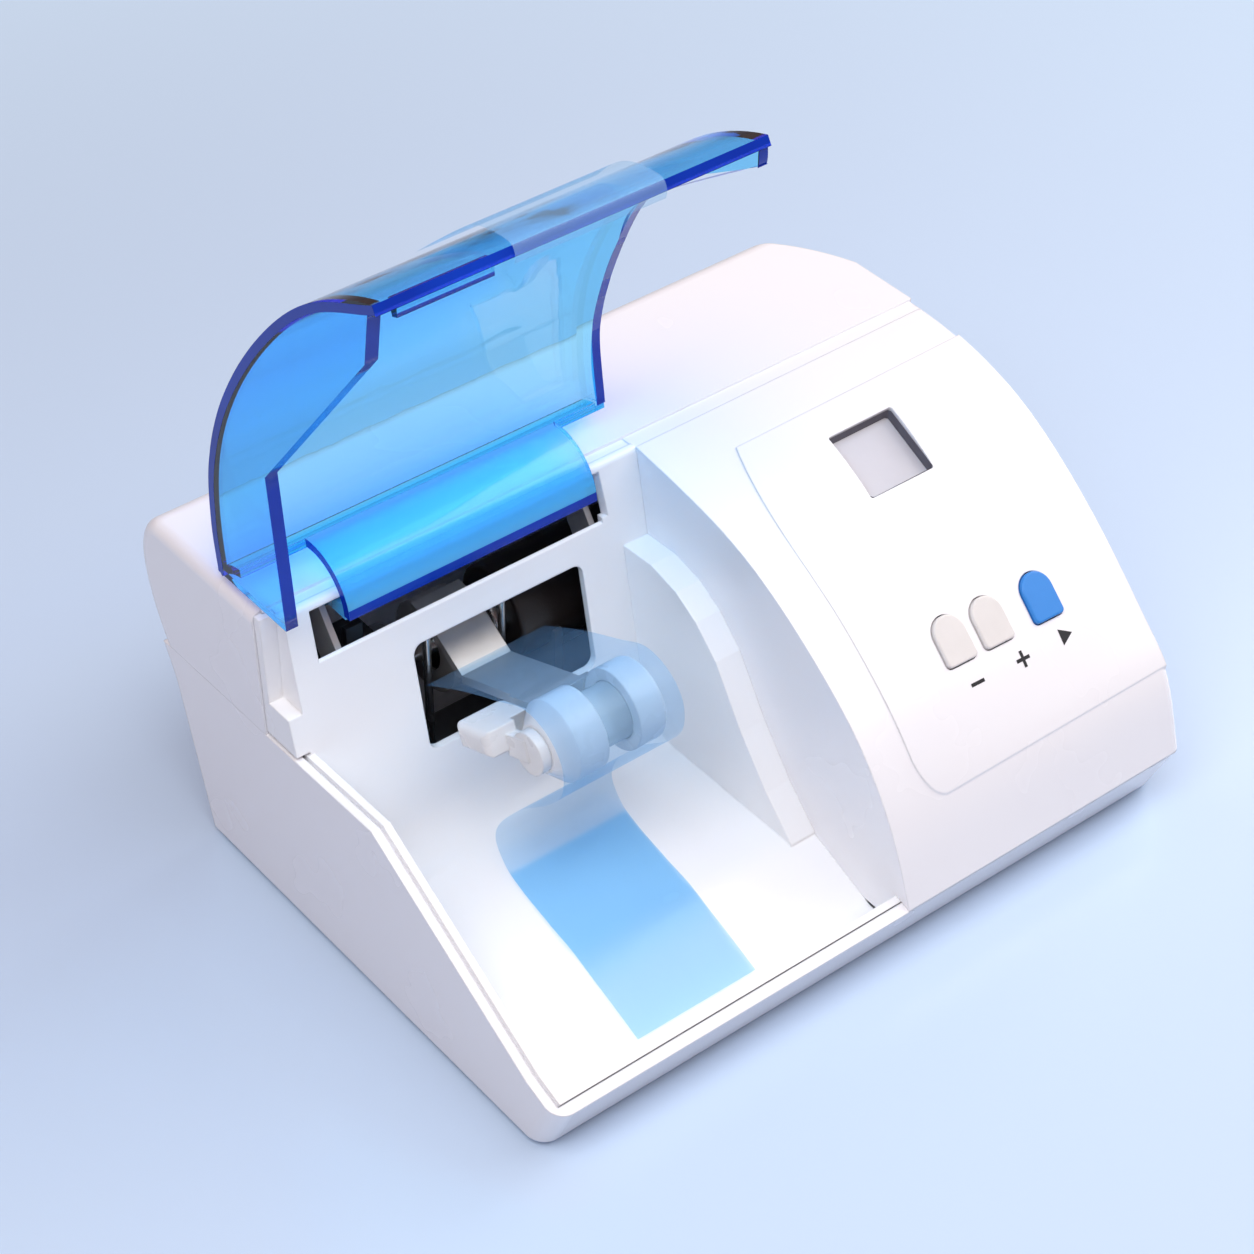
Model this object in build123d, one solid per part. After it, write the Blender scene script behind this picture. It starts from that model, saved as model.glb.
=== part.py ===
"""Dental amalgamator: a bench-top capsule mixer with a hinged see-through lid over an open arm well.

Built in millimetres with x to the right, y from the lower front edge towards the back and z up from
the casing's underside. save() then moves every piece so that the origin is the centre of the
footprint, on the surface that the rubber feet stand on.
"""
import math
import os

from build123d import *

# ---- casing ------------------------------------------------------------------------------------
FOOT_HEIGHT = 2.0          # rubber feet below the casing
HALF_WIDTH = 121.0         # casing half width at the underside
FLARE = 0.025              # the sides lean out by this much per mm of height
WALL = 2.8                 # moulded wall
RIM_STEP = 4.0             # the base is this thick below the rim, where the tray stands on it
TOP_Z = 112.0              # flat top of the rear cover
SEAM_Y = 119.3             # back edge of the front cover and of the well
REAR_FRONT_Y = 125.7       # front edge of the rear cover
STRIP_Z = 111.2            # sunk strip between the seam and the rear cover
MID_Y = 89.6               # middle of the footprint, moved to y = 0 at the end
FAR = 140.0                # further out than any side wall

RIM = [(124.5, 66.4), (73.0, 67.5), (5.0, 23.7), (-8.5, 18.5)]
BACK_FOOT = (164.6, 0.0)   # the lower back wall is flat between these two ...
BACK_KNEE = (174.6, 49.5)
BACK_CURVE = [BACK_KNEE, (183.2, 72.0), (187.6, 93.0), (185.2, 105.0), (176.5, TOP_Z)]
COVER_LEFT = [(SEAM_Y, 112.2), (93.5, 108.4), (69.7, 102.2), (49.9, 92.3), (34.1, 81.5), (18.1, 67.6),
              (5.7, 51.3), (-0.9, 38.8), (-6.4, 24.5), (-8.5, 18.5)]
COVER_RIGHT = [(SEAM_Y, 113.0), (96.0, 110.4), (73.0, 103.0), (54.2, 92.0), (39.0, 80.5), (23.9, 67.0),
               (10.8, 54.5), (2.0, 45.5), (-4.3, 31.8), (-8.5, 18.5)]
COVER_RIGHT_X = 126.0      # where the right outline stands, just outside the flared side
PANEL_RISE = 0.4           # the control panel stands proud of the front cover
PANEL_BACK_Y = 102.3

# ---- well --------------------------------------------------------------------------------------
COVER_X = 7.8              # left wall of the control housing
LEDGE_X = -1.5             # left face of the step beside the control housing
BACK_WALL_Y = 96.7         # front face of the back wall at z = 0 ...
BACK_WALL_LEAN = 0.2       # ... leaning back by this much per mm of height
BACK_WALL_TOP = 112.2
BACK_WALL_LEFT = -117.6    # left of here the wall steps back to let the closed lid in
REBATE_Y = 122.6
REBATE_Z = 80.4
SIDE_INSET = 0.6           # the well's side return stands this far inside the casing's side
FLOOR_Z = 19.5
SLOPE_FOOT = (7.9, 8.6)    # the floor runs down to here at the front
SLOPE_HEAD_Y = 35.0
TRAY_WALL = 2.4
LEDGE = [(118.0, 83.0), (100.4, 83.8), (88.6, 81.0), (79.2, 75.5), (69.7, 66.4), (57.4, 47.2),
         (45.3, 31.7), (33.2, FLOOR_Z)]
SLOT_X = (-109.2, -7.7)
SLOT_Z = (95.0, 110.0)
SLOT_CHAMFER = 2.4
WINDOW_X = (-78.8, -17.2)
WINDOW_Z = (48.6, 84.2)

# ---- lid ---------------------------------------------------------------------------------------
HINGE_Y = 131.5
HINGE_Z = 103.8
LID_X = (-122.5, 7.3)
LID_WALL = 3.0
LID_SIDE = 4.0             # thickness of the left side wall
LID_FOOT_Z = 115.8
LID_ARC = [(143.2, LID_FOOT_Z), (144.5, 133.1), (142.2, 155.3), (131.8, 182.1), (111.6, 211.9),
           (86.8, 236.3), (57.0, 251.9)]
LID_LEFT_EDGE = [(59.3, 247.8), (61.8, 232.0), (113.5, 166.5), (109.5, LID_FOOT_Z)]
LID_TAPER = 0.05           # the right side leans in by this much per mm towards the front
LID_RIGHT_EDGE = [(57.6, 243.0), (62.3, 240.0), (107.2, 207.1), (119.4, 186.4), (127.4, 168.4), (133.5, 147.2),
                  (132.9, 121.1)]
TAB_X = (-116.0, -87.0)    # catch under the lid's front edge
TONGUE_X = (-99.0, -11.0)
TONGUE_R = (14.9, 17.7)
EAR_WALL = 2.5
BRACKET_WALL = 2.0
PIN_R = 2.0
RUNNING = 0.05             # radial play of a pin in its hole

# ---- drive -------------------------------------------------------------------------------------
SHAFT_Y = 138.0
SHAFT_Z = 57.0
SHAFT_R = 3.0
SHAFT_X = (-92.0, 24.0)
ARM_X = -51.5              # middle of the arm
ARM_WIDTH = 18.0
ARM_PLATE = 3.0
PITCH = 21.5               # the arm rises towards the front by this many degrees
BEND_Y = 115.5
BEND_Z = 62.0
HUB_R = 15.0
HUB_WIDTH = 13.0
BALL_R = 10.0
MOTOR_X = (-33.0, 27.0)
MOTOR_R = 16.0
CAPSULE_R = 9.0
CAPSULE_AHEAD = 50.3       # capsule axis ahead of the bend, along the arm
CAPSULE_DROP = 7.4         # and below the arm's top face
RING_X = (-43.0, -33.0)
JAW_R = 13.0
CUP_X = (-70.0, -54.5)
SLIDER_X = (-81.0, -64.0)
SLIDER_AHEAD = (26.0, 41.5)
ROD_AHEAD = (29.5, 35.4)   # the two guide rods of the sliding jaw
ROD_DROP = -4.0            # their height off the arm's top face
ROD_R = 1.6
STOP_X = (-65.5, -38.0)    # stop rods each side of the arm
STOP_Y = 126.0
STOP_Z = 80.0
CHASSIS_Z = 6.0
CHASSIS_PLATE = 1.5

# ---- controls ----------------------------------------------------------------------------------
BUTTON_X = (52.9, 68.1, 88.5)
BUTTON_Y = 28.0
BUTTON_W = 11.5
BUTTON_L = 15.2
BUTTON_PROUD = 1.6
COLLAR_DEPTH = 5.0         # how far below the panel's face a button's collar starts
CAP_PLAY = 0.35            # gap round a button
DISPLAY_X = 69.4
DISPLAY_Y = 79.0
DISPLAY_W = 25.0
DISPLAY_L = 24.3
DISPLAY_SLANT = 1.4        # the window's top is moved right and its bottom left by this much
LENS_W = 31.0
LENS_L = 28.0
LENS_DEPTH = 4.4           # the lens lies this far below the panel's face

# ---- hidden sides ------------------------------------------------------------------------------
INLET_X = -72.0
SWITCH_X = -28.0
SOCKET_Z = 27.0            # middle of the inlet and of the switch
BOSSES = [(x, y) for x in (-104.0, 30.0, 104.0) for y in (112.0, 152.0)]
FEET = [(x, y) for x in (-100.0, 100.0) for y in (18.0, 146.0)]
VENTS = 8

# ---- clear sheet laid over the arm -------------------------------------------------------------
FILM = 0.6                 # thickness
FILM_X = (-73.0, -29.5)
FILM_PATH = [(116.0, 64.8), (98.0, 75.0), (80.0, 83.5), (68.0, 88.8), (57.5, 86.8), (51.0, 79.5),
             (51.0, 69.0), (58.0, 59.5), (70.0, 49.0), (81.0, 35.5), (83.6, 26.5), (78.0, 20.9),
             (68.0, 20.2), (52.0, 20.2), (38.0, 20.2), (24.0, 16.0), (10.5, 10.8)]


# ---- small helpers -----------------------------------------------------------------------------
def slab(outline, x0, x1):
    """A YZ outline as a plate between two x planes."""
    return extrude(Plane.YZ.offset(x0) * outline, amount=x1 - x0)


def polygon(*points):
    return make_face(Polyline(*points, close=True))


def block(x0, x1, y0, y1, z0, z1):
    return Pos((x0 + x1) / 2, (y0 + y1) / 2, (z0 + z1) / 2) * Box(x1 - x0, y1 - y0, z1 - z0)


def rod_x(radius, x0, x1, y, z):
    """A round bar along X."""
    bar = Cylinder(radius, x1 - x0, align=(Align.CENTER, Align.CENTER, Align.MIN))
    return Pos(x0, y, z) * Rot(0, 90, 0) * bar


def rod_z(radius, x, y, z0, z1):
    """An upright round bar."""
    return Pos(x, y, z0) * Cylinder(radius, z1 - z0, align=(Align.CENTER, Align.CENTER, Align.MIN))


def sector(r0, r1, start, end):
    """A ring sector about the lid's hinge in the YZ plane, angles from the back, turning up and forward."""
    def at(radius, angle):
        turn = math.radians(angle)
        return (HINGE_Y + radius * math.cos(turn), HINGE_Z + radius * math.sin(turn))
    middle = (start + end) / 2
    outer = ThreePointArc(at(r1, start), at(r1, middle), at(r1, end))
    inner = ThreePointArc(at(r0, end), at(r0, middle), at(r0, start))
    return make_face([outer, Line(at(r1, end), at(r0, end)), inner, Line(at(r0, start), at(r1, start))])


def shifted(points, distance):
    """A run of (y, z) points moved square to its own direction."""
    moved = []
    for i, (y, z) in enumerate(points):
        ahead = points[min(i + 1, len(points) - 1)]
        behind = points[max(i - 1, 0)]
        dy, dz = ahead[0] - behind[0], ahead[1] - behind[1]
        length = math.hypot(dy, dz)
        moved.append((y - distance * dz / length, z + distance * dy / length))
    return moved


def envelope(inset=0.0):
    """The flared space between the two side walls."""
    low, high = HALF_WIDTH - inset, HALF_WIDTH + FLARE * 150 - inset
    outline = polygon((-low, 0), (low, 0), (high, 150), (-high, 150))
    return extrude(Plane.XZ * outline, amount=300, both=True)


def wall_y(z, depth=0.0):
    """Front face of the well's back wall at height z, or the plane that lies depth behind it."""
    return BACK_WALL_Y + BACK_WALL_LEAN * z + depth


def arm_plane(x, ahead, rise=0.0):
    """Local frame on the arm's top face: x to the right, y back along the arm, z off the face."""
    pitch = math.radians(PITCH)
    y = BEND_Y - ahead * math.cos(pitch) + rise * math.sin(pitch)
    z = BEND_Z + ahead * math.sin(pitch) + rise * math.cos(pitch)
    return Plane((x, y, z), x_dir=(1, 0, 0), z_dir=(0, math.sin(pitch), math.cos(pitch)))


def back_plane(x):
    """Local frame on the flat lower back wall at socket height, z pointing out of the casing."""
    lean = (BACK_KNEE[0] - BACK_FOOT[0]) / (BACK_KNEE[1] - BACK_FOOT[1])
    return Plane((x, BACK_FOOT[0] + lean * SOCKET_Z, SOCKET_Z), x_dir=(-1, 0, 0), z_dir=(0, 1, -lean))


def cover_height(x, y):
    """Height of the front cover's skin over (x, y), between its left and right outlines."""
    def on(curve):
        for (y1, z1), (y0, z0) in zip(curve, curve[1:]):
            if y0 <= y <= y1:
                return z0 + (z1 - z0) * (y - y0) / (y1 - y0)
    share = (x - COVER_X) / (COVER_RIGHT_X - COVER_X)
    return on(COVER_LEFT) * (1 - share) + on(COVER_RIGHT) * share


def panel_plane(x, y, reach=6.0):
    """Local frame on the control panel's face at (x, y), z off the face."""
    slope_x = (cover_height(x + reach, y) - cover_height(x - reach, y)) / (2 * reach)
    slope_y = (cover_height(x, y + reach) - cover_height(x, y - reach)) / (2 * reach)
    normal = Vector(-slope_x, -slope_y, 1).normalized()
    height = (cover_height(x, y + reach) + cover_height(x, y - reach)) / 2
    spot = Vector(x, y, height) + normal * PANEL_RISE
    return Plane(spot, x_dir=(1, 0, slope_x), z_dir=normal)


def save(name, shape):
    """Moves a piece to the finished origin and writes it."""
    placed = Pos(0, -MID_Y, FOOT_HEIGHT) * shape
    placed.label = name
    export_step(placed, f"parts/{name}.step")


# ---- casing ------------------------------------------------------------------------------------
def casing_outline(inset=0.0):
    """Side view of the casing, or of the space that lies inset within it."""
    back = shifted(BACK_CURVE, inset)
    front = shifted(COVER_LEFT, inset)
    foot = shifted([BACK_FOOT, BACK_KNEE], inset)[0]
    toe = (0.64 * inset, inset)
    return make_face([Polyline(front[-1], toe, (foot[0], inset), back[0]),
                      Spline(*back, tangents=[(0.2, 1), (-1, 0)]),
                      Line(back[-1], front[0]), Spline(*front)])


def corner_sweep(inset=0.0):
    """A tall prism whose right back corner is one long sweep in plan."""
    sweep = Spline((130 - inset, 105), (126.5 - inset, 142), (117 - inset, 167 - inset), (96, 188.5 - inset))
    rest = Polyline((96, 188.5 - inset), (80, 230), (-150, 230), (-150, -60), (130 - inset, -60),
                    (130 - inset, 105))
    return extrude(make_face([sweep, rest]), amount=150)


def casing_block(inset=0.0):
    """The solid form of the casing, or with an inset the space inside its walls."""
    return slab(casing_outline(inset), -FAR, FAR) & envelope(inset) & corner_sweep(inset)


def below_rim(drop=0.0):
    """Everything under the rim that the lid closes on, lowered by drop."""
    rim = [(y, z - drop) for y, z in RIM]
    return slab(polygon((260, 64 - drop), *rim, (-60, rim[-1][1]), (-60, -20), (260, -20)), -FAR, FAR)


def inlet_hole(play=0.0):
    return back_plane(INLET_X) * Pos(0, 0, -12) * Box(27 + play, 32 + play, 30)


def switch_hole(play=0.0):
    return back_plane(SWITCH_X) * Pos(0, 0, -9) * Box(19 + play, 13 + play, 24)


def base_shell():
    """The lower tub, with a step inside its rim that the well tray stands on."""
    shell = casing_block() & below_rim()
    corners = shell.edges().filter_by(lambda e: abs(e.center().X) > 118 and e.center().Y < -3.5 and e.length > 15)
    shell = fillet(corners, 6)
    room = casing_block(RIM_STEP) & block(-FAR, FAR, -60, 260, WALL, 150)
    shell -= room & below_rim(2.0)
    shell -= casing_block(WALL) - below_rim(2.0)
    for x, y in BOSSES:
        shell += rod_z(4.5, x, y, RIM_STEP, CHASSIS_Z) - rod_z(1.5, x, y, RIM_STEP, CHASSIS_Z)
    for i in range(VENTS):
        x = 18.0 + 8.0 * i
        shell -= block(x - 1.5, x + 1.5, BACK_FOOT[0] - 10, BACK_FOOT[0] + 20, 14, 40)
    return shell - inlet_hole() - switch_hole()


def rear_cover():
    """The upper back shell. A sunk strip along its front edge meets the well and the front cover."""
    behind = slab(polygon((REAR_FRONT_Y, 40), (REAR_FRONT_Y, 130), (260, 130), (260, 40)), -FAR, FAR)
    shell = (casing_block() & behind) - below_rim()
    crests = shell.edges().filter_by(lambda e: abs(e.center().X) > 121 and e.center().Z > 108
                                     and e.length > 30)
    shell = fillet(crests, 4)
    shell -= casing_block(WALL)
    left_strip = block(BACK_WALL_LEFT + TRAY_WALL + 0.3, COVER_X, SEAM_Y + 2.6, REAR_FRONT_Y + 2, STRIP_Z - 1.8,
                       STRIP_Z)
    left_strip += block(-FAR, BACK_WALL_LEFT + TRAY_WALL + 1, REBATE_Y + 2.3, REAR_FRONT_Y + 2, STRIP_Z - 1.8,
                        STRIP_Z) & envelope(SIDE_INSET + TRAY_WALL + 0.3)
    hoop = casing_block(TOP_Z - STRIP_Z) - casing_block(WALL) - below_rim()
    hoop &= block(COVER_X, FAR, SEAM_Y, REAR_FRONT_Y + 0.5, 0, 150)
    return shell + left_strip + hoop


def cover_section(curve, x):
    """One cross-section of the front cover: its curved outside and a low closing line."""
    skin = Spline(*curve)
    rest = Polyline(curve[-1], (20, 0), (SEAM_Y, 0), curve[0])
    return Plane.YZ.offset(x) * make_face([skin, rest])


def cover_form(depth=0.0, x0=COVER_X):
    """The front cover's outer form, or the form that lies depth under its skin."""
    left, right = shifted(COVER_LEFT, depth), shifted(COVER_RIGHT, depth)
    left[0], right[0] = (SEAM_Y, left[0][1]), (SEAM_Y, right[0][1])
    return loft([cover_section(left, x0), cover_section(right, COVER_RIGHT_X)], ruled=True)


def panel_area():
    """Plan of the raised control panel, down to the crease above the lower band, with one round corner."""
    side = Spline((32.3, PANEL_BACK_Y), (26.2, 85), (23.1, 68.9), (22.5, 45), (22.2, 26), (22.2, 10.6))
    corner = ThreePointArc((22.2, 10.6), (24.8, 4.4), (31, 1.8))
    rest = Polyline((31, 1.8), (150, 1.8), (150, PANEL_BACK_Y), (32.3, PANEL_BACK_Y))
    return extrude(make_face([side, corner, rest]), amount=150)


def arch(play=0.0):
    """A button's outline: flat at the front, round at the back."""
    half = BUTTON_W / 2
    flat = BUTTON_L - half
    outline = Pos(0, -half / 2) * Rectangle(BUTTON_W, flat) + Pos(0, (flat - half) / 2) * Circle(half)
    outline = fillet(outline.vertices().group_by(Axis.Y)[0], 1.5)
    return offset(outline, play) if play else outline


def window_outline(grow=0.0):
    """The display window, its top slanted to the right."""
    half_w, half_l = DISPLAY_W / 2 + grow, DISPLAY_L / 2 + grow
    return fillet(polygon((-half_w - DISPLAY_SLANT, -half_l), (half_w - DISPLAY_SLANT, -half_l),
                          (half_w + DISPLAY_SLANT, half_l), (-half_w + DISPLAY_SLANT, half_l)).vertices(), 0.8)


def front_cover():
    """The control housing's shell: a curved slope that is lofted between two outlines."""
    skin = cover_form() & envelope()
    edge = skin.edges().filter_by(lambda e: e.center().X > 115 and e.length > 100).sort_by(Axis.Z)[-1]
    skin = fillet(edge, 4)
    skin += (cover_form(-PANEL_RISE) & envelope(1.5) & panel_area()) - cover_form(0.5)
    room = cover_form(WALL, COVER_X - 1) & envelope(WALL) & block(COVER_X + WALL, 150, -50, 150, -10, 150)
    shell = skin - room
    shell -= below_rim() & block(COVER_X + WALL, 150, -50, 150, -10, 100)
    shell -= slab(polygon((-30, -10), (-30, 18.5), (-8.5, 18.5), (-5.2, 19.8), (4, 9.5), (150, 9.5), (150, -10)), 0, 20)
    for x in BUTTON_X:
        shell -= panel_plane(x, BUTTON_Y) * extrude(arch(CAP_PLAY), amount=8, both=True)
    middle = panel_plane(DISPLAY_X, DISPLAY_Y)
    shell += middle * Pos(0, 0, -LENS_DEPTH) * extrude(window_outline(2), amount=LENS_DEPTH - 1)
    return shell - middle * extrude(window_outline(), amount=8, both=True)


def tray_outline():
    """Inside of the well from its front lip down to the floor and up the back wall."""
    lean = 8.5 / 18.5
    lip_y = -8.5 + RIM_STEP * 1.1 + TRAY_WALL * 1.1
    high = 60.0
    front = (lip_y - lean * (high - 18.5), high)
    toe = (lip_y + lean * (18.5 - SLOPE_FOOT[1]), SLOPE_FOOT[1])
    path = FilletPolyline(front, toe, SLOPE_FOOT, (SLOPE_HEAD_Y, FLOOR_Z), (wall_y(FLOOR_Z), FLOOR_Z),
                          (wall_y(140), 140), radius=[2, 5, 20, 16])
    return make_face([path, Polyline((wall_y(140), 140), (front[0], 140), front)])


def side_return():
    """The wall's left end: full width under the closed lid's edge, stepped back above, and round to the side."""
    skin = polygon((wall_y(67.8), 67.8), (wall_y(REBATE_Z), REBATE_Z), (wall_y(REBATE_Z, TRAY_WALL), REBATE_Z),
                   (wall_y(67.8, TRAY_WALL), 67.8))
    low = slab(skin, -FAR, BACK_WALL_LEFT + 1)
    shelf = block(-FAR, BACK_WALL_LEFT + 1, wall_y(REBATE_Z) + 1, REBATE_Y + 1, REBATE_Z - 2, REBATE_Z)
    back = block(-FAR, BACK_WALL_LEFT + TRAY_WALL, REBATE_Y, REBATE_Y + 2, REBATE_Z - 2, STRIP_Z)
    jamb = slab(polygon((wall_y(REBATE_Z), REBATE_Z), (wall_y(STRIP_Z), STRIP_Z), (REBATE_Y + 2, STRIP_Z),
                        (REBATE_Y + 2, REBATE_Z)), BACK_WALL_LEFT, BACK_WALL_LEFT + TRAY_WALL)
    side = slab(polygon((wall_y(67.8), 67.8), (wall_y(REBATE_Z), REBATE_Z), (REBATE_Y, REBATE_Z),
                        (REBATE_Y, STRIP_Z), (REAR_FRONT_Y - 0.3, STRIP_Z), (REAR_FRONT_Y - 0.3, 67.8)), -FAR, 0)
    side -= envelope(SIDE_INSET + TRAY_WALL)
    return (low + shelf + back + jamb + side) & envelope(SIDE_INSET)


def flare_right(x):
    """The slot's right edge, opened out towards the front."""
    low, high = SLOT_Z
    plan = polygon((x - 1, wall_y(low) - 4), (x + SLOT_CHAMFER, wall_y(low) - 4), (x + SLOT_CHAMFER, wall_y(low)),
                   (x, wall_y(high, TRAY_WALL)), (x - 1, wall_y(high, TRAY_WALL)))
    return Pos(0, 0, low) * extrude(plan, amount=high - low)


def well_tray():
    """The moulded well: floor, front slope, back wall with the lid slot and the arm window, side ledge."""
    inside = tray_outline()
    tub = slab(offset(inside, TRAY_WALL), -FAR, COVER_X) & envelope(RIM_STEP) & below_rim()
    tub -= slab(inside, -FAR, COVER_X + 1) & envelope(RIM_STEP + TRAY_WALL)
    wall = slab(polygon((wall_y(30), 30), (wall_y(BACK_WALL_TOP), BACK_WALL_TOP),
                        (wall_y(BACK_WALL_TOP, TRAY_WALL), BACK_WALL_TOP), (wall_y(30, TRAY_WALL), 30)),
                BACK_WALL_LEFT, COVER_X)
    crest = wall.edges().filter_by(Axis.X).sort_by_distance((0, wall_y(BACK_WALL_TOP), BACK_WALL_TOP))[0]
    wall = fillet(crest, 2)
    tub += wall + side_return()
    ledge = make_face(Polyline(*LEDGE, (33.2, FLOOR_Z - 6), (118, FLOOR_Z - 6), close=True))
    room = make_face(Polyline(*[(y + 1, z - TRAY_WALL) for y, z in LEDGE], (34.2, 0), (119, 0), close=True))
    step = slab(ledge, LEDGE_X, COVER_X) - slab(room, LEDGE_X + TRAY_WALL, COVER_X + 1)
    step &= slab(offset(inside, TRAY_WALL), LEDGE_X, COVER_X)
    tub += step
    slot = block(*SLOT_X, 100, 130, *SLOT_Z)
    low, right = SLOT_Z[0], SLOT_X[1]
    slot += slab(polygon((wall_y(low - SLOT_CHAMFER) - 1, low - SLOT_CHAMFER), (wall_y(low, TRAY_WALL), low),
                         (wall_y(low) - 2, low)), *SLOT_X)
    slot += flare_right(right)
    sweep = rod_x(TONGUE_R[1] + 0.4, *SLOT_X, HINGE_Y, HINGE_Z) & block(*SLOT_X, 100, HINGE_Y, 80, SLOT_Z[1])
    window = RectangleRounded(WINDOW_X[1] - WINDOW_X[0], WINDOW_Z[1] - WINDOW_Z[0], 3.5)
    middle = (sum(WINDOW_X) / 2, 115, sum(WINDOW_Z) / 2)
    opening = extrude(Plane(middle, x_dir=(1, 0, 0), z_dir=(0, -1, 0)) * window, amount=20, both=True)
    return tub - slot - sweep - opening


# ---- lid ---------------------------------------------------------------------------------------
def lid_right_side(inset=0.0):
    """Everything to the left of the lid's leaning right side."""
    low = LID_X[1] + LID_TAPER * (LID_FOOT_Z - 60) - inset
    high = LID_X[1] - LID_TAPER * (260 - LID_FOOT_Z) - inset
    return extrude(Plane.XZ * polygon((-200, 60), (low, 60), (high, 260), (-200, 260)), amount=300, both=True)


def lid_shell():
    """The clear lid: an arched panel, a full left side, a narrow right flange and the hinge tongue."""
    inner = shifted(LID_ARC, LID_WALL)
    arch_face = make_face([Spline(*LID_ARC), Line(LID_ARC[-1], inner[-1]), Spline(*inner[::-1]),
                           Line(inner[0], LID_ARC[0])])
    lid = slab(arch_face, LID_X[0], LID_X[1] + 5) & lid_right_side()
    left = make_face([Spline(*LID_ARC), Polyline(LID_ARC[-1], *LID_LEFT_EDGE, LID_ARC[0])])
    lid += slab(left, LID_X[0], LID_X[0] + LID_SIDE)
    right = make_face([Spline(*LID_ARC), Line(LID_ARC[-1], LID_RIGHT_EDGE[0]), Spline(*LID_RIGHT_EDGE),
                       Line(LID_RIGHT_EDGE[-1], LID_ARC[0])])
    lid += (slab(right, -20, LID_X[1] + 5) & lid_right_side()) - lid_right_side(LID_WALL)
    lid += slab(polygon((56.4, 250.4), (56.2, 246.0), (58.4, 245.2), (59.6, 249.4)), *TAB_X)
    lid += slab(sector(*TONGUE_R, 48, 82), LID_X[0], LID_X[1])
    lid += slab(sector(*TONGUE_R, 80, 178), *TONGUE_X)
    ear = sector(1.0, TONGUE_R[0] + 0.5, 162, 182)
    for x in (TONGUE_X[0], TONGUE_X[1] - EAR_WALL):
        lid += slab(ear, x, x + EAR_WALL) + rod_x(5, x, x + EAR_WALL, HINGE_Y, HINGE_Z)
        lid -= rod_x(PIN_R + RUNNING, x - 1, x + EAR_WALL + 1, HINGE_Y, HINGE_Z)
    return lid


def hinge_brackets():
    """Two pressed plates that hang from the back of the well's wall and carry the hinge rod."""
    foot = [(wall_y(z, TRAY_WALL), z) for z in (72, 90)]
    outline = polygon(foot[0], foot[1], (HINGE_Y - 5, HINGE_Z), (HINGE_Y + 5, HINGE_Z),
                      (HINGE_Y + 3, HINGE_Z - 9), (foot[0][0] + 5, foot[0][1]))
    plates = []
    for x in (TONGUE_X[0] - 0.6 - BRACKET_WALL, TONGUE_X[1] + 0.6):
        plate = slab(outline, x, x + BRACKET_WALL) + rod_x(5, x, x + BRACKET_WALL, HINGE_Y, HINGE_Z)
        pad = slab(polygon(foot[0], foot[1], (foot[1][0] + 2, foot[1][1]), (foot[0][0] + 2, foot[0][1])), x - 4, x + 6)
        plates.append(plate + pad - rod_x(PIN_R, x - 1, x + 3, HINGE_Y, HINGE_Z))
    return Compound(children=plates)


def hinge_rod():
    """One steel rod through both brackets, with a retaining collar outside each."""
    x0, x1 = TONGUE_X[0] - 0.6 - BRACKET_WALL, TONGUE_X[1] + 0.6 + BRACKET_WALL
    rod = rod_x(PIN_R, x0 - 2, x1 + 2, HINGE_Y, HINGE_Z)
    return rod + rod_x(3.2, x0 - 2, x0, HINGE_Y, HINGE_Z) + rod_x(3.2, x1, x1 + 2, HINGE_Y, HINGE_Z)


def lid_spring():
    """Torsion spring round the hinge rod that helps to hold the lid up."""
    coil = rod_x(3.4, -72, -60, HINGE_Y, HINGE_Z) - rod_x(PIN_R + 0.1, -73, -59, HINGE_Y, HINGE_Z)
    leg = Pos(-60.7, HINGE_Y - 2.9, HINGE_Z) * Rot(25, 0, 0) * Pos(0, 0, -11) * Cylinder(0.7, 14)
    return coil + leg


# ---- arm and clamp -----------------------------------------------------------------------------
def local_block(x0, x1, ahead0, ahead1, z0, z1):
    """A block in the arm's own frame: ahead runs forward from the bend, z off the top face."""
    return arm_plane(0, 0) * block(x0, x1, -ahead1, -ahead0, z0, z1)


def local_rod(radius, x0, x1, ahead, z):
    """A round bar along X in the arm's own frame."""
    return arm_plane(0, 0) * rod_x(radius, x0, x1, -ahead, z)


def arm_plate():
    """The bent steel arm: a sloped back plate down to the bend, then a bar that rises to the fork."""
    x0, x1 = ARM_X - ARM_WIDTH / 2, ARM_X + ARM_WIDTH / 2
    top = [(SHAFT_Y + 3, SHAFT_Z + HUB_R + 1.5), (SHAFT_Y - 6, SHAFT_Z + HUB_R), (BEND_Y, BEND_Z)]
    back = slab(make_face(Polyline(*top, *shifted(top, ARM_PLATE)[::-1], close=True)), x0, x1)
    plate = local_block(x0, x1, -1.0, SLIDER_AHEAD[0] + 4, -ARM_PLATE, 0)
    fork = local_block(x0 - 1, x1, SLIDER_AHEAD[0], SLIDER_AHEAD[1], -7.5, 0)
    tine = local_block(RING_X[0], x1 + 4, SLIDER_AHEAD[1] - 8, CAPSULE_AHEAD - 8, -9, -1)
    arm = back + plate + fork + tine
    for ahead in ROD_AHEAD:
        arm -= local_rod(ROD_R, x0 - 2, x1 - 3, ahead, ROD_DROP)
    arm -= local_rod(JAW_R, *RING_X, CAPSULE_AHEAD, -CAPSULE_DROP)
    arm -= local_rod(JAW_R + 1, CUP_X[0] - 1, RING_X[0], CAPSULE_AHEAD, -CAPSULE_DROP)
    return arm - rod_x(HUB_R, x0 - 1, x1 + 1, SHAFT_Y, SHAFT_Z)


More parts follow.
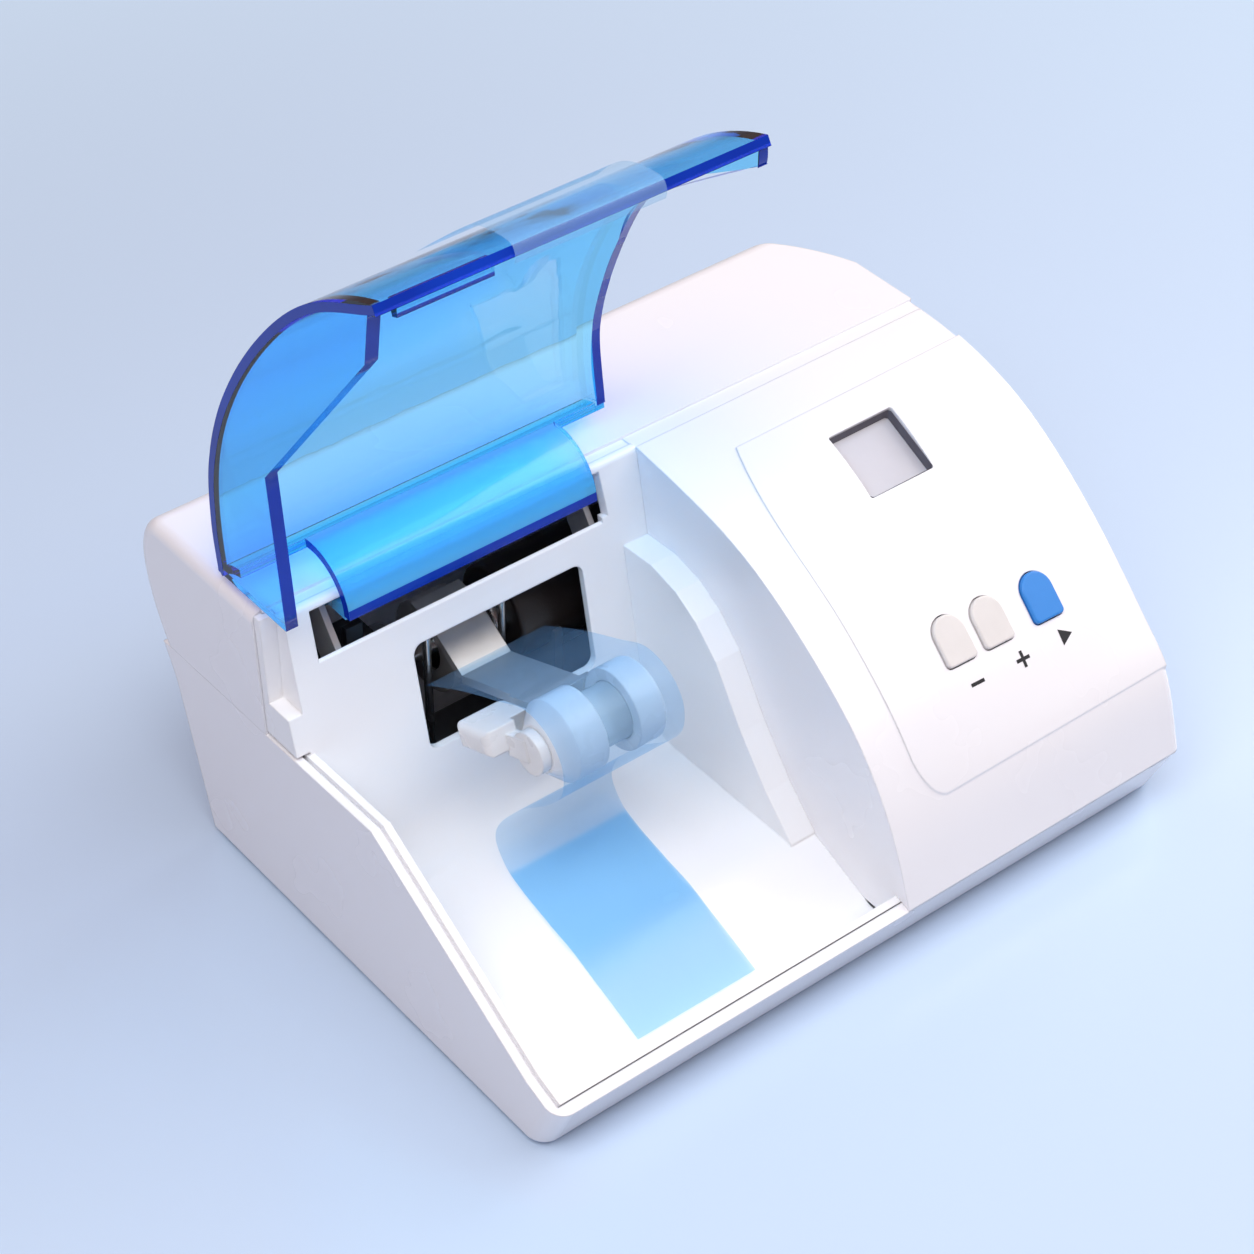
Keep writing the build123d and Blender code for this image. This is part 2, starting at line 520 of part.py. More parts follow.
def ring_jaw():
    """The right jaw, a ring that the capsule's cap sits in."""
    ring = local_rod(JAW_R, *RING_X, CAPSULE_AHEAD, -CAPSULE_DROP)
    ring = fillet(ring.edges().sort_by(Axis.X)[-1], 1.5)
    return ring - local_rod(CAPSULE_R + 0.3, RING_X[0] - 1, RING_X[1] + 1, CAPSULE_AHEAD, -CAPSULE_DROP)


def arm_hub():
    """The bearing housing at the back of the arm, with a round socket for the ball sleeve."""
    x0, x1 = ARM_X - HUB_WIDTH / 2, ARM_X + HUB_WIDTH / 2
    hub = rod_x(HUB_R, x0, x1, SHAFT_Y, SHAFT_Z)
    return hub - Pos(ARM_X, SHAFT_Y, SHAFT_Z) * Rot(0, 90, 0) * Sphere(BALL_R + RUNNING)


def guide_rods():
    rods = [local_rod(ROD_R, SLIDER_X[0] + 1.5, ARM_X + ARM_WIDTH / 2 - 3, ahead, ROD_DROP) for ahead in ROD_AHEAD]
    return Compound(children=rods)


def clamp_slider():
    """The finger block that slides on the guide rods, with the yoke that carries the left cup."""
    body = local_block(*SLIDER_X, *SLIDER_AHEAD, -8, 0)
    tall = body.edges().filter_by(lambda e: e.length < 8.5 or e.center().X < SLIDER_X[0] + 1)
    body = fillet(tall, 2.4)
    yoke = local_block(CUP_X[0] - 4, CUP_X[0], SLIDER_AHEAD[1] - 1, CAPSULE_AHEAD, -10, -3)
    yoke += local_rod(6.8, CUP_X[0] - 3.4, CUP_X[0], CAPSULE_AHEAD, -CAPSULE_DROP)
    slider = body + yoke
    slider -= local_rod(JAW_R + 0.3, CUP_X[0], SLIDER_X[1] + 1, CAPSULE_AHEAD, -CAPSULE_DROP)
    for ahead in ROD_AHEAD:
        slider -= local_rod(ROD_R + RUNNING, SLIDER_X[0] + 1.2, SLIDER_X[1] + 1, ahead, ROD_DROP)
    return slider


def jaw_cup():
    """The left cup that the capsule's end sits in."""
    cup = local_rod(JAW_R, *CUP_X, CAPSULE_AHEAD, -CAPSULE_DROP)
    cup = chamfer(cup.edges().sort_by(Axis.X)[0], 5.5)
    return cup - local_rod(CAPSULE_R + 0.3, CUP_X[1] - 5, CUP_X[1] + 1, CAPSULE_AHEAD, -CAPSULE_DROP)


def capsule():
    """A mixing capsule: a clear barrel with a domed end and a stepped cap."""
    barrel = local_rod(CAPSULE_R, CUP_X[1] - 4.5, RING_X[0] + 3, CAPSULE_AHEAD, -CAPSULE_DROP)
    cap = local_rod(CAPSULE_R + 0.3, RING_X[0], RING_X[1] - 1, CAPSULE_AHEAD, -CAPSULE_DROP)
    cap = fillet(cap.edges().sort_by(Axis.X)[-1], 1.5)
    return fillet(barrel.edges().sort_by(Axis.X)[0], 2) + cap


# ---- motor and shaft ---------------------------------------------------------------------------
def motor_body():
    can = rod_x(MOTOR_R, *MOTOR_X, SHAFT_Y, SHAFT_Z)
    return fillet(can.edges(), 1.5) - rod_x(SHAFT_R + 1, MOTOR_X[0] - 1, MOTOR_X[1] + 1, SHAFT_Y, SHAFT_Z)


def motor_boss():
    """The bright bearing boss on the motor's left end."""
    boss = rod_x(8, MOTOR_X[0] - 4.5, MOTOR_X[0], SHAFT_Y, SHAFT_Z)
    boss = fillet(boss.edges().sort_by(Axis.X)[0], 1)
    return boss - rod_x(SHAFT_R + RUNNING, MOTOR_X[0] - 5, MOTOR_X[0] + 1, SHAFT_Y, SHAFT_Z)


def motor_shaft():
    return rod_x(SHAFT_R, *SHAFT_X, SHAFT_Y, SHAFT_Z)


def ball_sleeve():
    """The round sleeve on the shaft that the arm's hub swivels on."""
    ball = Pos(ARM_X, SHAFT_Y, SHAFT_Z) * Rot(0, 90, 0) * Sphere(BALL_R)
    ball &= rod_x(BALL_R, ARM_X - 6, ARM_X + 6, SHAFT_Y, SHAFT_Z)
    return ball - rod_x(SHAFT_R, ARM_X - 7, ARM_X + 7, SHAFT_Y, SHAFT_Z)


def counterweight():
    """A part disc that balances the sleeve."""
    disc = rod_x(13, -76, -70, SHAFT_Y, SHAFT_Z) & block(-76, -70, SHAFT_Y - 4, SHAFT_Y + 14, 30, 80)
    return disc - rod_x(SHAFT_R, -77, -69, SHAFT_Y, SHAFT_Z)


def shaft_bearing():
    """Ball bearing at the shaft's left end, shown as its two rings joined."""
    ring = rod_x(8, -90, -84, SHAFT_Y, SHAFT_Z)
    return ring - rod_x(SHAFT_R + RUNNING, -91, -83, SHAFT_Y, SHAFT_Z)


def bearing_stand():
    """A block on the chassis plate that holds the shaft's left bearing and, on top, the lid switch."""
    base_z = CHASSIS_Z + CHASSIS_PLATE
    stand = block(-90, -84, SHAFT_Y - 12, SHAFT_Y + 10, base_z, SHAFT_Z + 12)
    stand += block(-96, -78, SHAFT_Y - 12, SHAFT_Y + 8, base_z, base_z + 3)
    return stand - rod_x(8, -91, -83, SHAFT_Y, SHAFT_Z)


def lid_switch():
    """Microswitch under the hinge tongue's end, which the closed lid presses."""
    body = block(-94, -80, SHAFT_Y - 8, SHAFT_Y + 4, SHAFT_Z + 12, SHAFT_Z + 22)
    return body + block(-90, -84, SHAFT_Y - 7, SHAFT_Y - 5, SHAFT_Z + 22, SHAFT_Z + 28)


def motor_cradle():
    """The saddle that the motor is strapped to, on four rubber mounts."""
    base_z = CHASSIS_Z + CHASSIS_PLATE + 5
    cradle = block(-26, 20, SHAFT_Y - 17, SHAFT_Y + 14, base_z, base_z + 3)
    for x in (-22, 13):
        cradle += block(x, x + 3, SHAFT_Y - 17, SHAFT_Y + 14, base_z, SHAFT_Z - 2)
    return cradle - rod_x(MOTOR_R, -30, 24, SHAFT_Y, SHAFT_Z)


def rubber_mounts():
    base_z = CHASSIS_Z + CHASSIS_PLATE
    spots = [(x, y) for x in (-20, 14) for y in (SHAFT_Y - 12, SHAFT_Y + 9)]
    return Compound(children=[rod_z(4, x, y, base_z, base_z + 5) for x, y in spots])


def chassis_plate():
    plate = block(-112, 112, 106, 158, CHASSIS_Z, CHASSIS_Z + CHASSIS_PLATE)
    plate = fillet(plate.edges().filter_by(Axis.Z), 4)
    for x, y in BOSSES:
        plate -= rod_z(1.7, x, y, CHASSIS_Z - 1, CHASSIS_Z + 3)
    return plate


def case_screws():
    """Pan-head screws that hold the chassis plate to the base."""
    screws = []
    for x, y in BOSSES:
        top = CHASSIS_Z + CHASSIS_PLATE
        screws.append(rod_z(1.5, x, y, RIM_STEP, top) + rod_z(3, x, y, top, top + 2))
    return Compound(children=screws)


def stop_rods():
    """A bent steel rod frame that stands astride the arm and limits its swing."""
    rods = [rod_z(1.3, x, STOP_Y, CHASSIS_Z + CHASSIS_PLATE, STOP_Z) for x in STOP_X]
    return rods[0] + rods[1] + rod_x(1.6, STOP_X[0] - 2, STOP_X[1] + 2, STOP_Y, STOP_Z + 1)


# ---- electrics ---------------------------------------------------------------------------------
def power_board():
    return block(38, 104, 110, 152, 12, 13.6)


def board_posts():
    base_z = CHASSIS_Z + CHASSIS_PLATE
    spots = [(x, y) for x in (42, 96) for y in (114, 148)]
    return Compound(children=[rod_z(2.5, x, y, base_z, 12) for x, y in spots])


def transformer():
    core = block(62, 98, 118, 148, 13.6, 46)
    return core + block(68, 92, 113, 153, 19, 41)


def control_board():
    """The board under the three buttons."""
    x0, x1 = BUTTON_X[0] - 14, BUTTON_X[2] + 14
    return panel_plane(BUTTON_X[1], BUTTON_Y) * block(x0 - BUTTON_X[1], x1 - BUTTON_X[1], -13, 15, -15.6, -14)


def tact_switches():
    middle = panel_plane(BUTTON_X[1], BUTTON_Y)
    return Compound(children=[middle * block(x - BUTTON_X[1] - 3, x - BUTTON_X[1] + 3, -3, 3, -14, -10.5)
                              for x in BUTTON_X])


def button(x):
    """One button cap on its stem, with the collar that keeps it in the panel."""
    face = panel_plane(x, BUTTON_Y)
    cap = face * extrude(Pos(0, 0, -COLLAR_DEPTH) * arch(), amount=COLLAR_DEPTH + BUTTON_PROUD)
    cap = fillet(cap.edges().sort_by_distance(face.origin + face.z_dir * BUTTON_PROUD)[:4], 0.6)
    cap += face * extrude(Pos(0, 0, -COLLAR_DEPTH - 1.2) * arch(0.8), amount=1.2)
    return cap + face * Pos(0, 0, -COLLAR_DEPTH - 2.5) * Cylinder(2, 3)


def display_module():
    middle = panel_plane(DISPLAY_X, DISPLAY_Y) * Pos(0, 0, -LENS_DEPTH - 2.9)
    return middle * Box(LENS_W, LENS_L, 4)


def display_lens():
    middle = panel_plane(DISPLAY_X, DISPLAY_Y) * Pos(0, 0, -LENS_DEPTH - 0.45)
    return middle * Box(LENS_W, LENS_L, 0.8)


def mains_inlet():
    """A snap-in appliance inlet with a socket above a fuse drawer."""
    flange = back_plane(INLET_X) * Pos(0, 0, 1) * Box(32, 38, 2)
    body = back_plane(INLET_X) * Pos(0, 0, -8.5) * Box(27, 32, 17)
    socket = back_plane(INLET_X) * Pos(0, 5, -6) * Box(24, 16.5, 16)
    drawer = back_plane(INLET_X) * Pos(0, -10.5, -5) * Box(20.2, 7.2, 14.2)
    return flange + body - socket - drawer


def inlet_pins():
    pins = [back_plane(INLET_X) * Pos(x, 5 + y, -7) * Box(2, 4, 14) for x, y in ((-7, -2), (0, 2), (7, -2))]
    return Compound(children=pins)


def fuse_drawer():
    return back_plane(INLET_X) * Pos(0, -10.5, -4.7) * Box(20, 7, 14)


def switch_frame():
    flange = back_plane(SWITCH_X) * Pos(0, 0, 0.75) * Box(21, 15, 1.5)
    body = back_plane(SWITCH_X) * Pos(0, 0, -8) * Box(19, 13, 16)
    return flange + body - back_plane(SWITCH_X) * Pos(0, 0, -2) * Box(16, 10, 12)


def switch_rocker():
    return back_plane(SWITCH_X) * Pos(0, 0, -1.5) * Box(15.2, 8.6, 6)


def rubber_feet():
    return Compound(children=[rod_z(7, x, y, -FOOT_HEIGHT, 0) for x, y in FEET])


# ---- clear sheet -------------------------------------------------------------------------------
def transit_film():
    """The loose clear sheet: over the arm, round the capsule, then down and forward on the floor."""
    under = shifted(FILM_PATH, -FILM / 2)
    over = shifted(FILM_PATH, FILM / 2)
    outline = make_face([Spline(*under), Line(under[-1], over[-1]), Spline(*over[::-1]),
                         Line(over[0], under[0])])
    return slab(outline, *FILM_X)


# ---- all pieces --------------------------------------------------------------------------------
PIECES = [base_shell, rear_cover, front_cover, well_tray, lid_shell, hinge_brackets, hinge_rod, lid_spring,
          lid_switch, arm_plate, arm_hub, ring_jaw, guide_rods, clamp_slider, jaw_cup, capsule, motor_body,
          motor_boss, motor_shaft, ball_sleeve, counterweight, shaft_bearing, bearing_stand, motor_cradle,
          rubber_mounts, stop_rods, chassis_plate, case_screws, power_board, board_posts, transformer,
          control_board, tact_switches, display_module, display_lens, mains_inlet, inlet_pins, fuse_drawer,
          switch_frame, switch_rocker, rubber_feet, transit_film]

os.makedirs("parts", exist_ok=True)
for piece in PIECES:
    save(piece.__name__, piece())
for name, x in zip(("button_minus", "button_plus", "button_start"), BUTTON_X):
    save(name, button(x))
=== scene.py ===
"""Dresses the dental amalgamator: finishes, loose clear films, small trim, light and camera.

Laid out as an add-on and run as a script. Lengths are in metres in the built part's own frame: x to
the user's right, y to the back, z up from the bench. Names that end in MM hold millimetres.
"""
import math

import bpy
import numpy as np
from mathutils import Matrix


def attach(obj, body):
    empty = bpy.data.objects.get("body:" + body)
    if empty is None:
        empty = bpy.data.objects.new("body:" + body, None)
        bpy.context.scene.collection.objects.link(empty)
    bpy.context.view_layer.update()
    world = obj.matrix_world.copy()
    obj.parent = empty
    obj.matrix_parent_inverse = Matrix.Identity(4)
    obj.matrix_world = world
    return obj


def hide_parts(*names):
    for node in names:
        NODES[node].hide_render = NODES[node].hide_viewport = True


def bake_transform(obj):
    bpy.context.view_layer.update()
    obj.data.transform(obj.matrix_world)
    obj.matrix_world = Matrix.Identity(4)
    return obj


bl_info = {
    "name": "Dental Amalgamator",
    "version": (1, 0, 0),
    "blender": (4, 5, 0),
    "location": "3D View > Sidebar > Amalgamator",
    "description": "Finishes, clear films, trim, light and camera for the amalgamator",
    "category": "Object",
}

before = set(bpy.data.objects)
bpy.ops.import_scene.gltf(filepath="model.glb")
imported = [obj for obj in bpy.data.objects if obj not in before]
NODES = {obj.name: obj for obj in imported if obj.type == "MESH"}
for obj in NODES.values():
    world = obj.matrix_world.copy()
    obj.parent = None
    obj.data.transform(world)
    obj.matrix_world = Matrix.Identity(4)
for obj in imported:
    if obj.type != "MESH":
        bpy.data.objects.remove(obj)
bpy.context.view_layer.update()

# Arm film: its middle line (y, z) from under the window's head, over the clamp and down to the floor,
# its two sides in x, and how far and over which share of its length it drifts sideways on the floor.
ARM_FILM_MM = [(26.4, 66.8), (8.4, 77.0), (-9.6, 85.5), (-21.6, 90.8), (-32.1, 88.8), (-38.6, 81.5),
               (-38.6, 71.0), (-31.6, 61.5), (-19.6, 51.0), (-8.6, 37.5), (-6.0, 28.5), (-11.6, 22.9),
               (-21.6, 22.2), (-37.6, 22.2), (-51.6, 22.2), (-65.6, 18.0), (-81.6, 11.9)]
ARM_FILM_SIDES_MM = (-73.0, -29.5)
ARM_FILM_DRIFT_MM = -7.0
ARM_FILM_DRIFT_FROM, ARM_FILM_DRIFT_OVER = 0.62, 0.3
# Lid film: from inside the lid's front edge, over it and back to where it touches the lid again. Its
# left back corner is pulled out and lies on the lid.
LID_FILM_MM = [(-34.0, 249.3), (-34.4, 252.0), (-32.4, 254.7), (-25.2, 254.4), (-19.1, 252.8),
               (-14.0, 250.0), (-9.1, 245.6), (-6.1, 242.3)]
LID_FILM_SIDES_MM = (-81.5, -34.0)
LID_FILM_PULL_MM = -10.0
LID_FILM_PULL_FROM, LID_FILM_PULL_OVER = 0.72, 0.28
# Both films, as shares of their length: where they begin to lie flat, and where the cut end is paler.
FILM_LIES, FILM_END, FILM_END_SHARE = (0.70, 0.72), (0.86, 0.95), 0.55

# Lid section, (y, z): the outside and inside of its arc from foot to front edge, then the free edges
# of the left wall and of the right flange.
LID_ARC_MM = [(53.6, 117.8), (54.9, 135.1), (52.6, 157.3), (42.2, 184.1), (22.0, 213.9), (-2.8, 238.3),
              (-32.6, 253.9)]
LID_ARC_INSIDE_MM = [(50.9, 118.0), (52.2, 135.0), (50.0, 156.7), (39.8, 182.8), (19.9, 212.2),
                     (-4.4, 236.1), (-33.8, 251.6)]
LID_FREE_EDGE_MM = [(-33.9, 251.3), (-30.3, 249.8), (-27.8, 234.0), (23.9, 168.5), (19.9, 117.8),
                    (53.6, 117.8)]
LID_FLANGE_MM = [(-32.0, 245.0), (-27.3, 242.0), (17.6, 209.1), (29.8, 188.4), (37.8, 170.4),
                 (43.9, 149.2), (43.3, 123.1)]
# Outside and inside of the left wall in x, the right side's x at the foot and its lean inwards, and
# the thickness of the right flange.
LID_LEFT_MM = (-122.5, -118.5)
LID_RIGHT_MM, LID_LEAN = 7.3, 0.05
LID_FLANGE_WALL_MM = 3.0
# Hinge tongue: a rolled wall round the hinge (y, z), with its sides in x, its radii and the angles
# where it leaves the lid and where it ends. Its lip covers the last few of the curve's points.
HINGE_MM = (41.9, 105.8)
TONGUE_SIDES_MM = (-99.0, -11.0)
TONGUE_RADII_MM = (14.9, 17.7)
TONGUE_TURN_DEG = (80, 178)
TONGUE_LIP_POINTS = 5
# Where the tongue gets its painted sheen: from the first y and z to the second, in metres, up to a share.
PAINTED_SHEEN_Y, PAINTED_SHEEN_Z, PAINTED_SHEEN_SHARE = (0.040, 0.030), (0.124, 0.110), 0.62
# Catch rib inside the front edge.
CATCH_MM = [(-33.3, 249.2), (-33.44, 248.0), (-31.2, 247.16)]
CATCH_SIDES_MM = (-116.0, -87.0)
# How far the lit edges stand off the wall that they cover.
PROUD_MM = 0.04

# Control panel: the middle of each mark in millimetres, with the directions across and up it.
MARKS = {"less": ((54.51, -72.39, 66.02), (0.9987, 0.0, -0.05), (0.0362, 0.6898, 0.7231)),
         "more": ((73.01, -72.39, 65.29), (0.9987, 0.0, -0.05), (0.0358, 0.6985, 0.7147)),
         "start": ((91.01, -72.08, 64.87), (0.9987, 0.0, -0.0509), (0.0359, 0.7082, 0.7051))}
MARK_HALF_MM, MARK_BAR_HALF_MM = 2.6, 0.55
INK_MM = 0.08
# The display in the same way, its window's corners (across, up) and how deep the grey lining of painted
# shade in its reveal reaches.
DISPLAY = ((69.4, -10.71, 107.17), (1.0, 0.0, 0.0026), (-0.0007, 0.9598, 0.2807))
WINDOW_MM = [(-12.8, -12.0), (10.3, -12.0), (11.05, -11.3), (13.6, 11.2), (12.9, 12.0), (-10.3, 12.0),
             (-11.05, 11.3), (-13.6, -11.2)]
SHADE_LINING_DEPTHS_MM = (-4.2, -0.5)

# Camera: a square frame, the focal length in its pixels, and where the camera stands and looks.
FRAME_PX = 1254
FOCAL_PX = 3200
SENSOR_MM = 36.0
CAMERA_SPOT = (-0.46597, -0.55911, 0.68488)
CAMERA_TURN_DEG, CAMERA_RISE_DEG, CAMERA_ROLL_DEG = -38.637, 40.283, 0.117
# Lamps shine at the middle of the casing. The bench reaches 4 m each way, and fades into the backdrop
# between two distances from the casing's middle, up to a share.
LAMP_TARGET = (0.0, 0.0, 0.07)
BENCH_HALF = 4
BENCH_FADE, BENCH_FADE_SHARE = (0.18, 0.85), 0.9


# ---- looks that a user would change --------------------------------------------------------------
class AMALGAMATOR_PG_casing(bpy.types.PropertyGroup):
    shell: bpy.props.StringProperty(
        name="Shell", description="Casing colour, sRGB hex", default="F6F5F8")
    grain_mm: bpy.props.FloatProperty(
        name="Grain", description="Spacing of the mould's fine texture, in millimetres", default=0.5,
        min=0.05)


class AMALGAMATOR_PG_lid(bpy.types.PropertyGroup):
    tint: bpy.props.StringProperty(
        name="Tint", description="Colour that white light keeps, sRGB hex", default="0AE7FE")
    depth: bpy.props.FloatProperty(
        name="Depth", description="How fast the tint deepens, per metre of plastic", default=255.0,
        min=0.0)
    film: bpy.props.StringProperty(
        name="Film", description="Colour that one layer of film keeps, sRGB hex", default="C2E9FF")


class AMALGAMATOR_PG_controls(bpy.types.PropertyGroup):
    grey_key: bpy.props.StringProperty(
        name="Time keys", description="Colour of the two time keys, sRGB hex", default="E4E0DE")
    start_key: bpy.props.StringProperty(
        name="Start key", description="Colour of the start key, sRGB hex", default="2F8BE0")


class AMALGAMATOR_PG_stage(bpy.types.PropertyGroup):
    floor: bpy.props.StringProperty(
        name="Floor", description="Bench colour, sRGB hex", default="C6DAF2")
    backdrop: bpy.props.StringProperty(
        name="Backdrop", description="Colour behind the object, sRGB hex", default="D6E7FB")
    key_power: bpy.props.FloatProperty(
        name="Key light", description="Power of the large lamp on the left", default=8.0, min=0.0,
        unit="POWER")


# ---- material helpers ----------------------------------------------------------------------------
def hex_to_linear(text, alpha=1.0):
    """An sRGB hex colour as the linear RGBA that a shader socket takes."""
    srgb = np.array([int(text[i:i + 2], 16) for i in (0, 2, 4)]) / 255.0
    linear = np.where(srgb <= 0.04045, srgb / 12.92, ((srgb + 0.055) / 1.055) ** 2.4)
    return (*linear.tolist(), alpha)


def add(tree, kind, settings=None, links=None):
    """Adds a node. settings are its properties, links its inputs: a constant or another node's output."""
    made = tree.nodes.new(kind)
    for key, value in (settings or {}).items():
        setattr(made, key, value)
    for key, value in (links or {}).items():
        if isinstance(value, bpy.types.NodeSocket):
            tree.links.new(value, made.inputs[key])
        else:
            made.inputs[key].default_value = value
    return made


def new_material(name):
    """An empty node material with its output, and Object coordinates to draw on."""
    material = bpy.data.materials.new(name)
    material.use_nodes = True
    tree = material.node_tree
    tree.nodes.clear()
    output = add(tree, "ShaderNodeOutputMaterial")
    place = add(tree, "ShaderNodeTexCoord").outputs["Object"]
    return material, tree, output, place


def seen_straight(tree):
    """1 for rays that the eye sends, straight or through the clear lid, and 0 for all others."""
    path = add(tree, "ShaderNodeLightPath")
    return add(tree, "ShaderNodeMath", {"operation": "MAXIMUM"},
               {0: path.outputs["Is Camera Ray"], 1: path.outputs["Is Transmission Ray"]}).outputs[0]


def finish(name, colour, shade, roughness, spread, grain_mm, bump, blotch_mm, edge_mm=0.0, **sockets):
    """A moulded, drawn or painted solid: a colour with slow blotches towards shade, fine grain that
    lifts the surface, gloss that varies by spread, and edges rounded by edge_mm. sockets go on the
    shader itself."""
    material, tree, output, place = new_material(name)
    blotch = add(tree, "ShaderNodeTexNoise", {},
                 {"Vector": place, "Scale": 1000.0 / blotch_mm, "Detail": 3.0})
    tone = add(tree, "ShaderNodeMix", {"data_type": "RGBA"},
               {0: blotch.outputs["Fac"], 6: hex_to_linear(colour), 7: hex_to_linear(shade)})
    grain = add(tree, "ShaderNodeTexNoise", {},
                {"Vector": place, "Scale": 1000.0 / grain_mm, "Detail": 2.0})
    gloss = add(tree, "ShaderNodeMapRange", {},
                {"Value": blotch.outputs["Fac"], "To Min": roughness - spread,
                 "To Max": roughness + spread})
    rounded = {}
    if edge_mm:
        bevel = add(tree, "ShaderNodeBevel", {"samples": 8}, {"Radius": edge_mm / 1000})
        rounded = {"Normal": bevel.outputs[0]}
    lift = add(tree, "ShaderNodeBump", {},
               {"Height": grain.outputs["Fac"], "Strength": bump, "Distance": grain_mm / 4000, **rounded})
    shader = add(tree, "ShaderNodeBsdfPrincipled", {},
                 {"Base Color": tone.outputs[2], "Roughness": gloss.outputs[0],
                  "Normal": lift.outputs[0], **sockets})
    tree.links.new(shader.outputs[0], output.inputs["Surface"])
    return material


def dress(material, *names):
    """Gives CAD nodes their material."""
    for name in names:
        slots = NODES[name].data.materials
        slots.clear()
        slots.append(material)


# ---- finishes of the casing ----------------------------------------------------------------------
def moulded_abs(name, colour, shade, grain_mm):
    """Injection-moulded glossy ABS: a soft even sheen, faint sink marks and a very fine grain."""
    return finish(name, colour, shade, roughness=0.27, spread=0.02, grain_mm=grain_mm, bump=0.04,
                  blotch_mm=60, edge_mm=0.7, IOR=1.52, **{"Coat Weight": 0.25, "Coat Roughness": 0.12})


def silicone_key(name, colour, shade, roughness):
    """Moulded silicone rubber key: even, with a soft satin face."""
    return finish(name, colour, shade, roughness=roughness, spread=0.06, grain_mm=0.35, bump=0.12,
                  blotch_mm=9, edge_mm=0.5)


def smoked_acrylic():
    """Cast acrylic lens in front of an unlit display: flat, pale grey and glossy."""
    return finish("smoked_acrylic_lens", "DAD8DE", "CFCDD4", roughness=0.16, spread=0.05, grain_mm=0.6,
                  bump=0.03, blotch_mm=14, **{"Coat Weight": 0.6, "Coat Roughness": 0.04})


def black_nylon():
    """Moulded nylon of switches and inlet: near black, with a dull sheen."""
    return finish("black_moulded_nylon", "1D1D20", "151518", roughness=0.42, spread=0.08, grain_mm=0.4,
                  bump=0.2, blotch_mm=12, edge_mm=0.4)


def printed_ink():
    """Pad-printed ink: dense, a little matt, with a slight unevenness in its gloss."""
    return finish("pad_printed_ink", "1B1B1F", "26262B", roughness=0.55, spread=0.08, grain_mm=0.3,
                  bump=0.1, blotch_mm=3)


def painted_reveal_shade():
    """A grey strip lining the display's window: painted shade on the reveal round the lens, matt and finely
    pitted.
    """
    return finish("grey_painted_reveal_shade", "6E6C76", "5C5A64", roughness=0.8, spread=0.05, grain_mm=0.3,
                  bump=0.4, blotch_mm=4)


# ---- finishes of the inside ----------------------------------------------------------------------
def machined_steel():
    """Drawn and machined steel: bright, with fine scratches."""
    return finish("machined_steel", "C9C7C4", "B4B2B0", roughness=0.24, spread=0.08, grain_mm=0.3,
                  bump=0.15, blotch_mm=12, edge_mm=0.3, Metallic=1.0)


def zinc_plate():
    """Zinc-plated pressed sheet: a warm grey with a satin face."""
    return finish("zinc_plated_arm", "D4D1CE", "B4B1AF", roughness=0.38, spread=0.08, grain_mm=0.4,
                  bump=0.2, blotch_mm=15, edge_mm=0.4, Metallic=0.6)


def galvanised_sheet():
    """Galvanised sheet of the chassis: dull grey, clouded by its spangle."""
    return finish("galvanised_sheet", "9B9C9E", "808286", roughness=0.45, spread=0.1, grain_mm=1.5,
                  bump=0.2, blotch_mm=10, Metallic=0.9)


def enamelled_can():
    """Stove-enamelled steel can of the motor: brown-black, with an orange-peel sheen."""
    return finish("enamelled_motor_can", "2A2422", "1C1817", roughness=0.36, spread=0.08, grain_mm=0.8,
                  bump=0.3, blotch_mm=15, edge_mm=0.6)


def turned_brass():
    """Turned brass contact blades: yellow, bright, with fine turning marks."""
    return finish("turned_brass", "C9A557", "B08E45", roughness=0.3, spread=0.06, grain_mm=0.3,
                  bump=0.2, blotch_mm=8, Metallic=1.0)


def moulded_rubber():
    """Moulded rubber: charcoal and matt."""
    return finish("moulded_rubber", "242326", "1C1B1E", roughness=0.75, spread=0.06, grain_mm=0.4,
                  bump=0.3, blotch_mm=10, edge_mm=0.4)


def solder_mask():
    """Green solder mask over fibreglass board: even and half glossy."""
    return finish("green_solder_mask", "1F5A35", "184A2B", roughness=0.32, spread=0.06, grain_mm=1.0,
                  bump=0.1, blotch_mm=6)


def iron_core():
    """Laminated and varnished iron core: brown, with a rough broken sheen."""
    return finish("laminated_iron_core", "6A5A4A", "4A3E34", roughness=0.5, spread=0.1, grain_mm=0.6,
                  bump=0.4, blotch_mm=6, Metallic=0.6)


def moulded_acetal():
    """Moulded acetal: dense off-white with a waxy gloss, lit a little from within."""
    return finish("moulded_acetal", "E9E9EA", "DEDFE2", roughness=0.28, spread=0.05, grain_mm=0.5,
                  bump=0.06, blotch_mm=12, edge_mm=1.0, IOR=1.48,
                  **{"Subsurface Weight": 0.15, "Subsurface Radius": (0.004, 0.004, 0.004)})


# ---- clear finishes ------------------------------------------------------------------------------
def clear_polystyrene():
    """Moulded clear polystyrene capsule: glassy, with milky flow marks that vary its gloss. Its IOR is
    matched, below the plastic's 1.59."""
    material, tree, output, place = new_material("clear_polystyrene_capsule")
    flow_mm = 5.56
    haze = add(tree, "ShaderNodeTexNoise", {}, {"Vector": place, "Scale": 1000.0 / flow_mm})
    gloss = add(tree, "ShaderNodeMapRange", {},
                {"Value": haze.outputs["Fac"], "To Min": 0.03, "To Max": 0.14})
    shader = add(tree, "ShaderNodeBsdfPrincipled", {},
                 {"Base Color": hex_to_linear("EDF3F5"), "Transmission Weight": 0.55, "IOR": 1.3,
                  "Roughness": gloss.outputs[0]})
    tree.links.new(shader.outputs[0], output.inputs["Surface"])
    return material


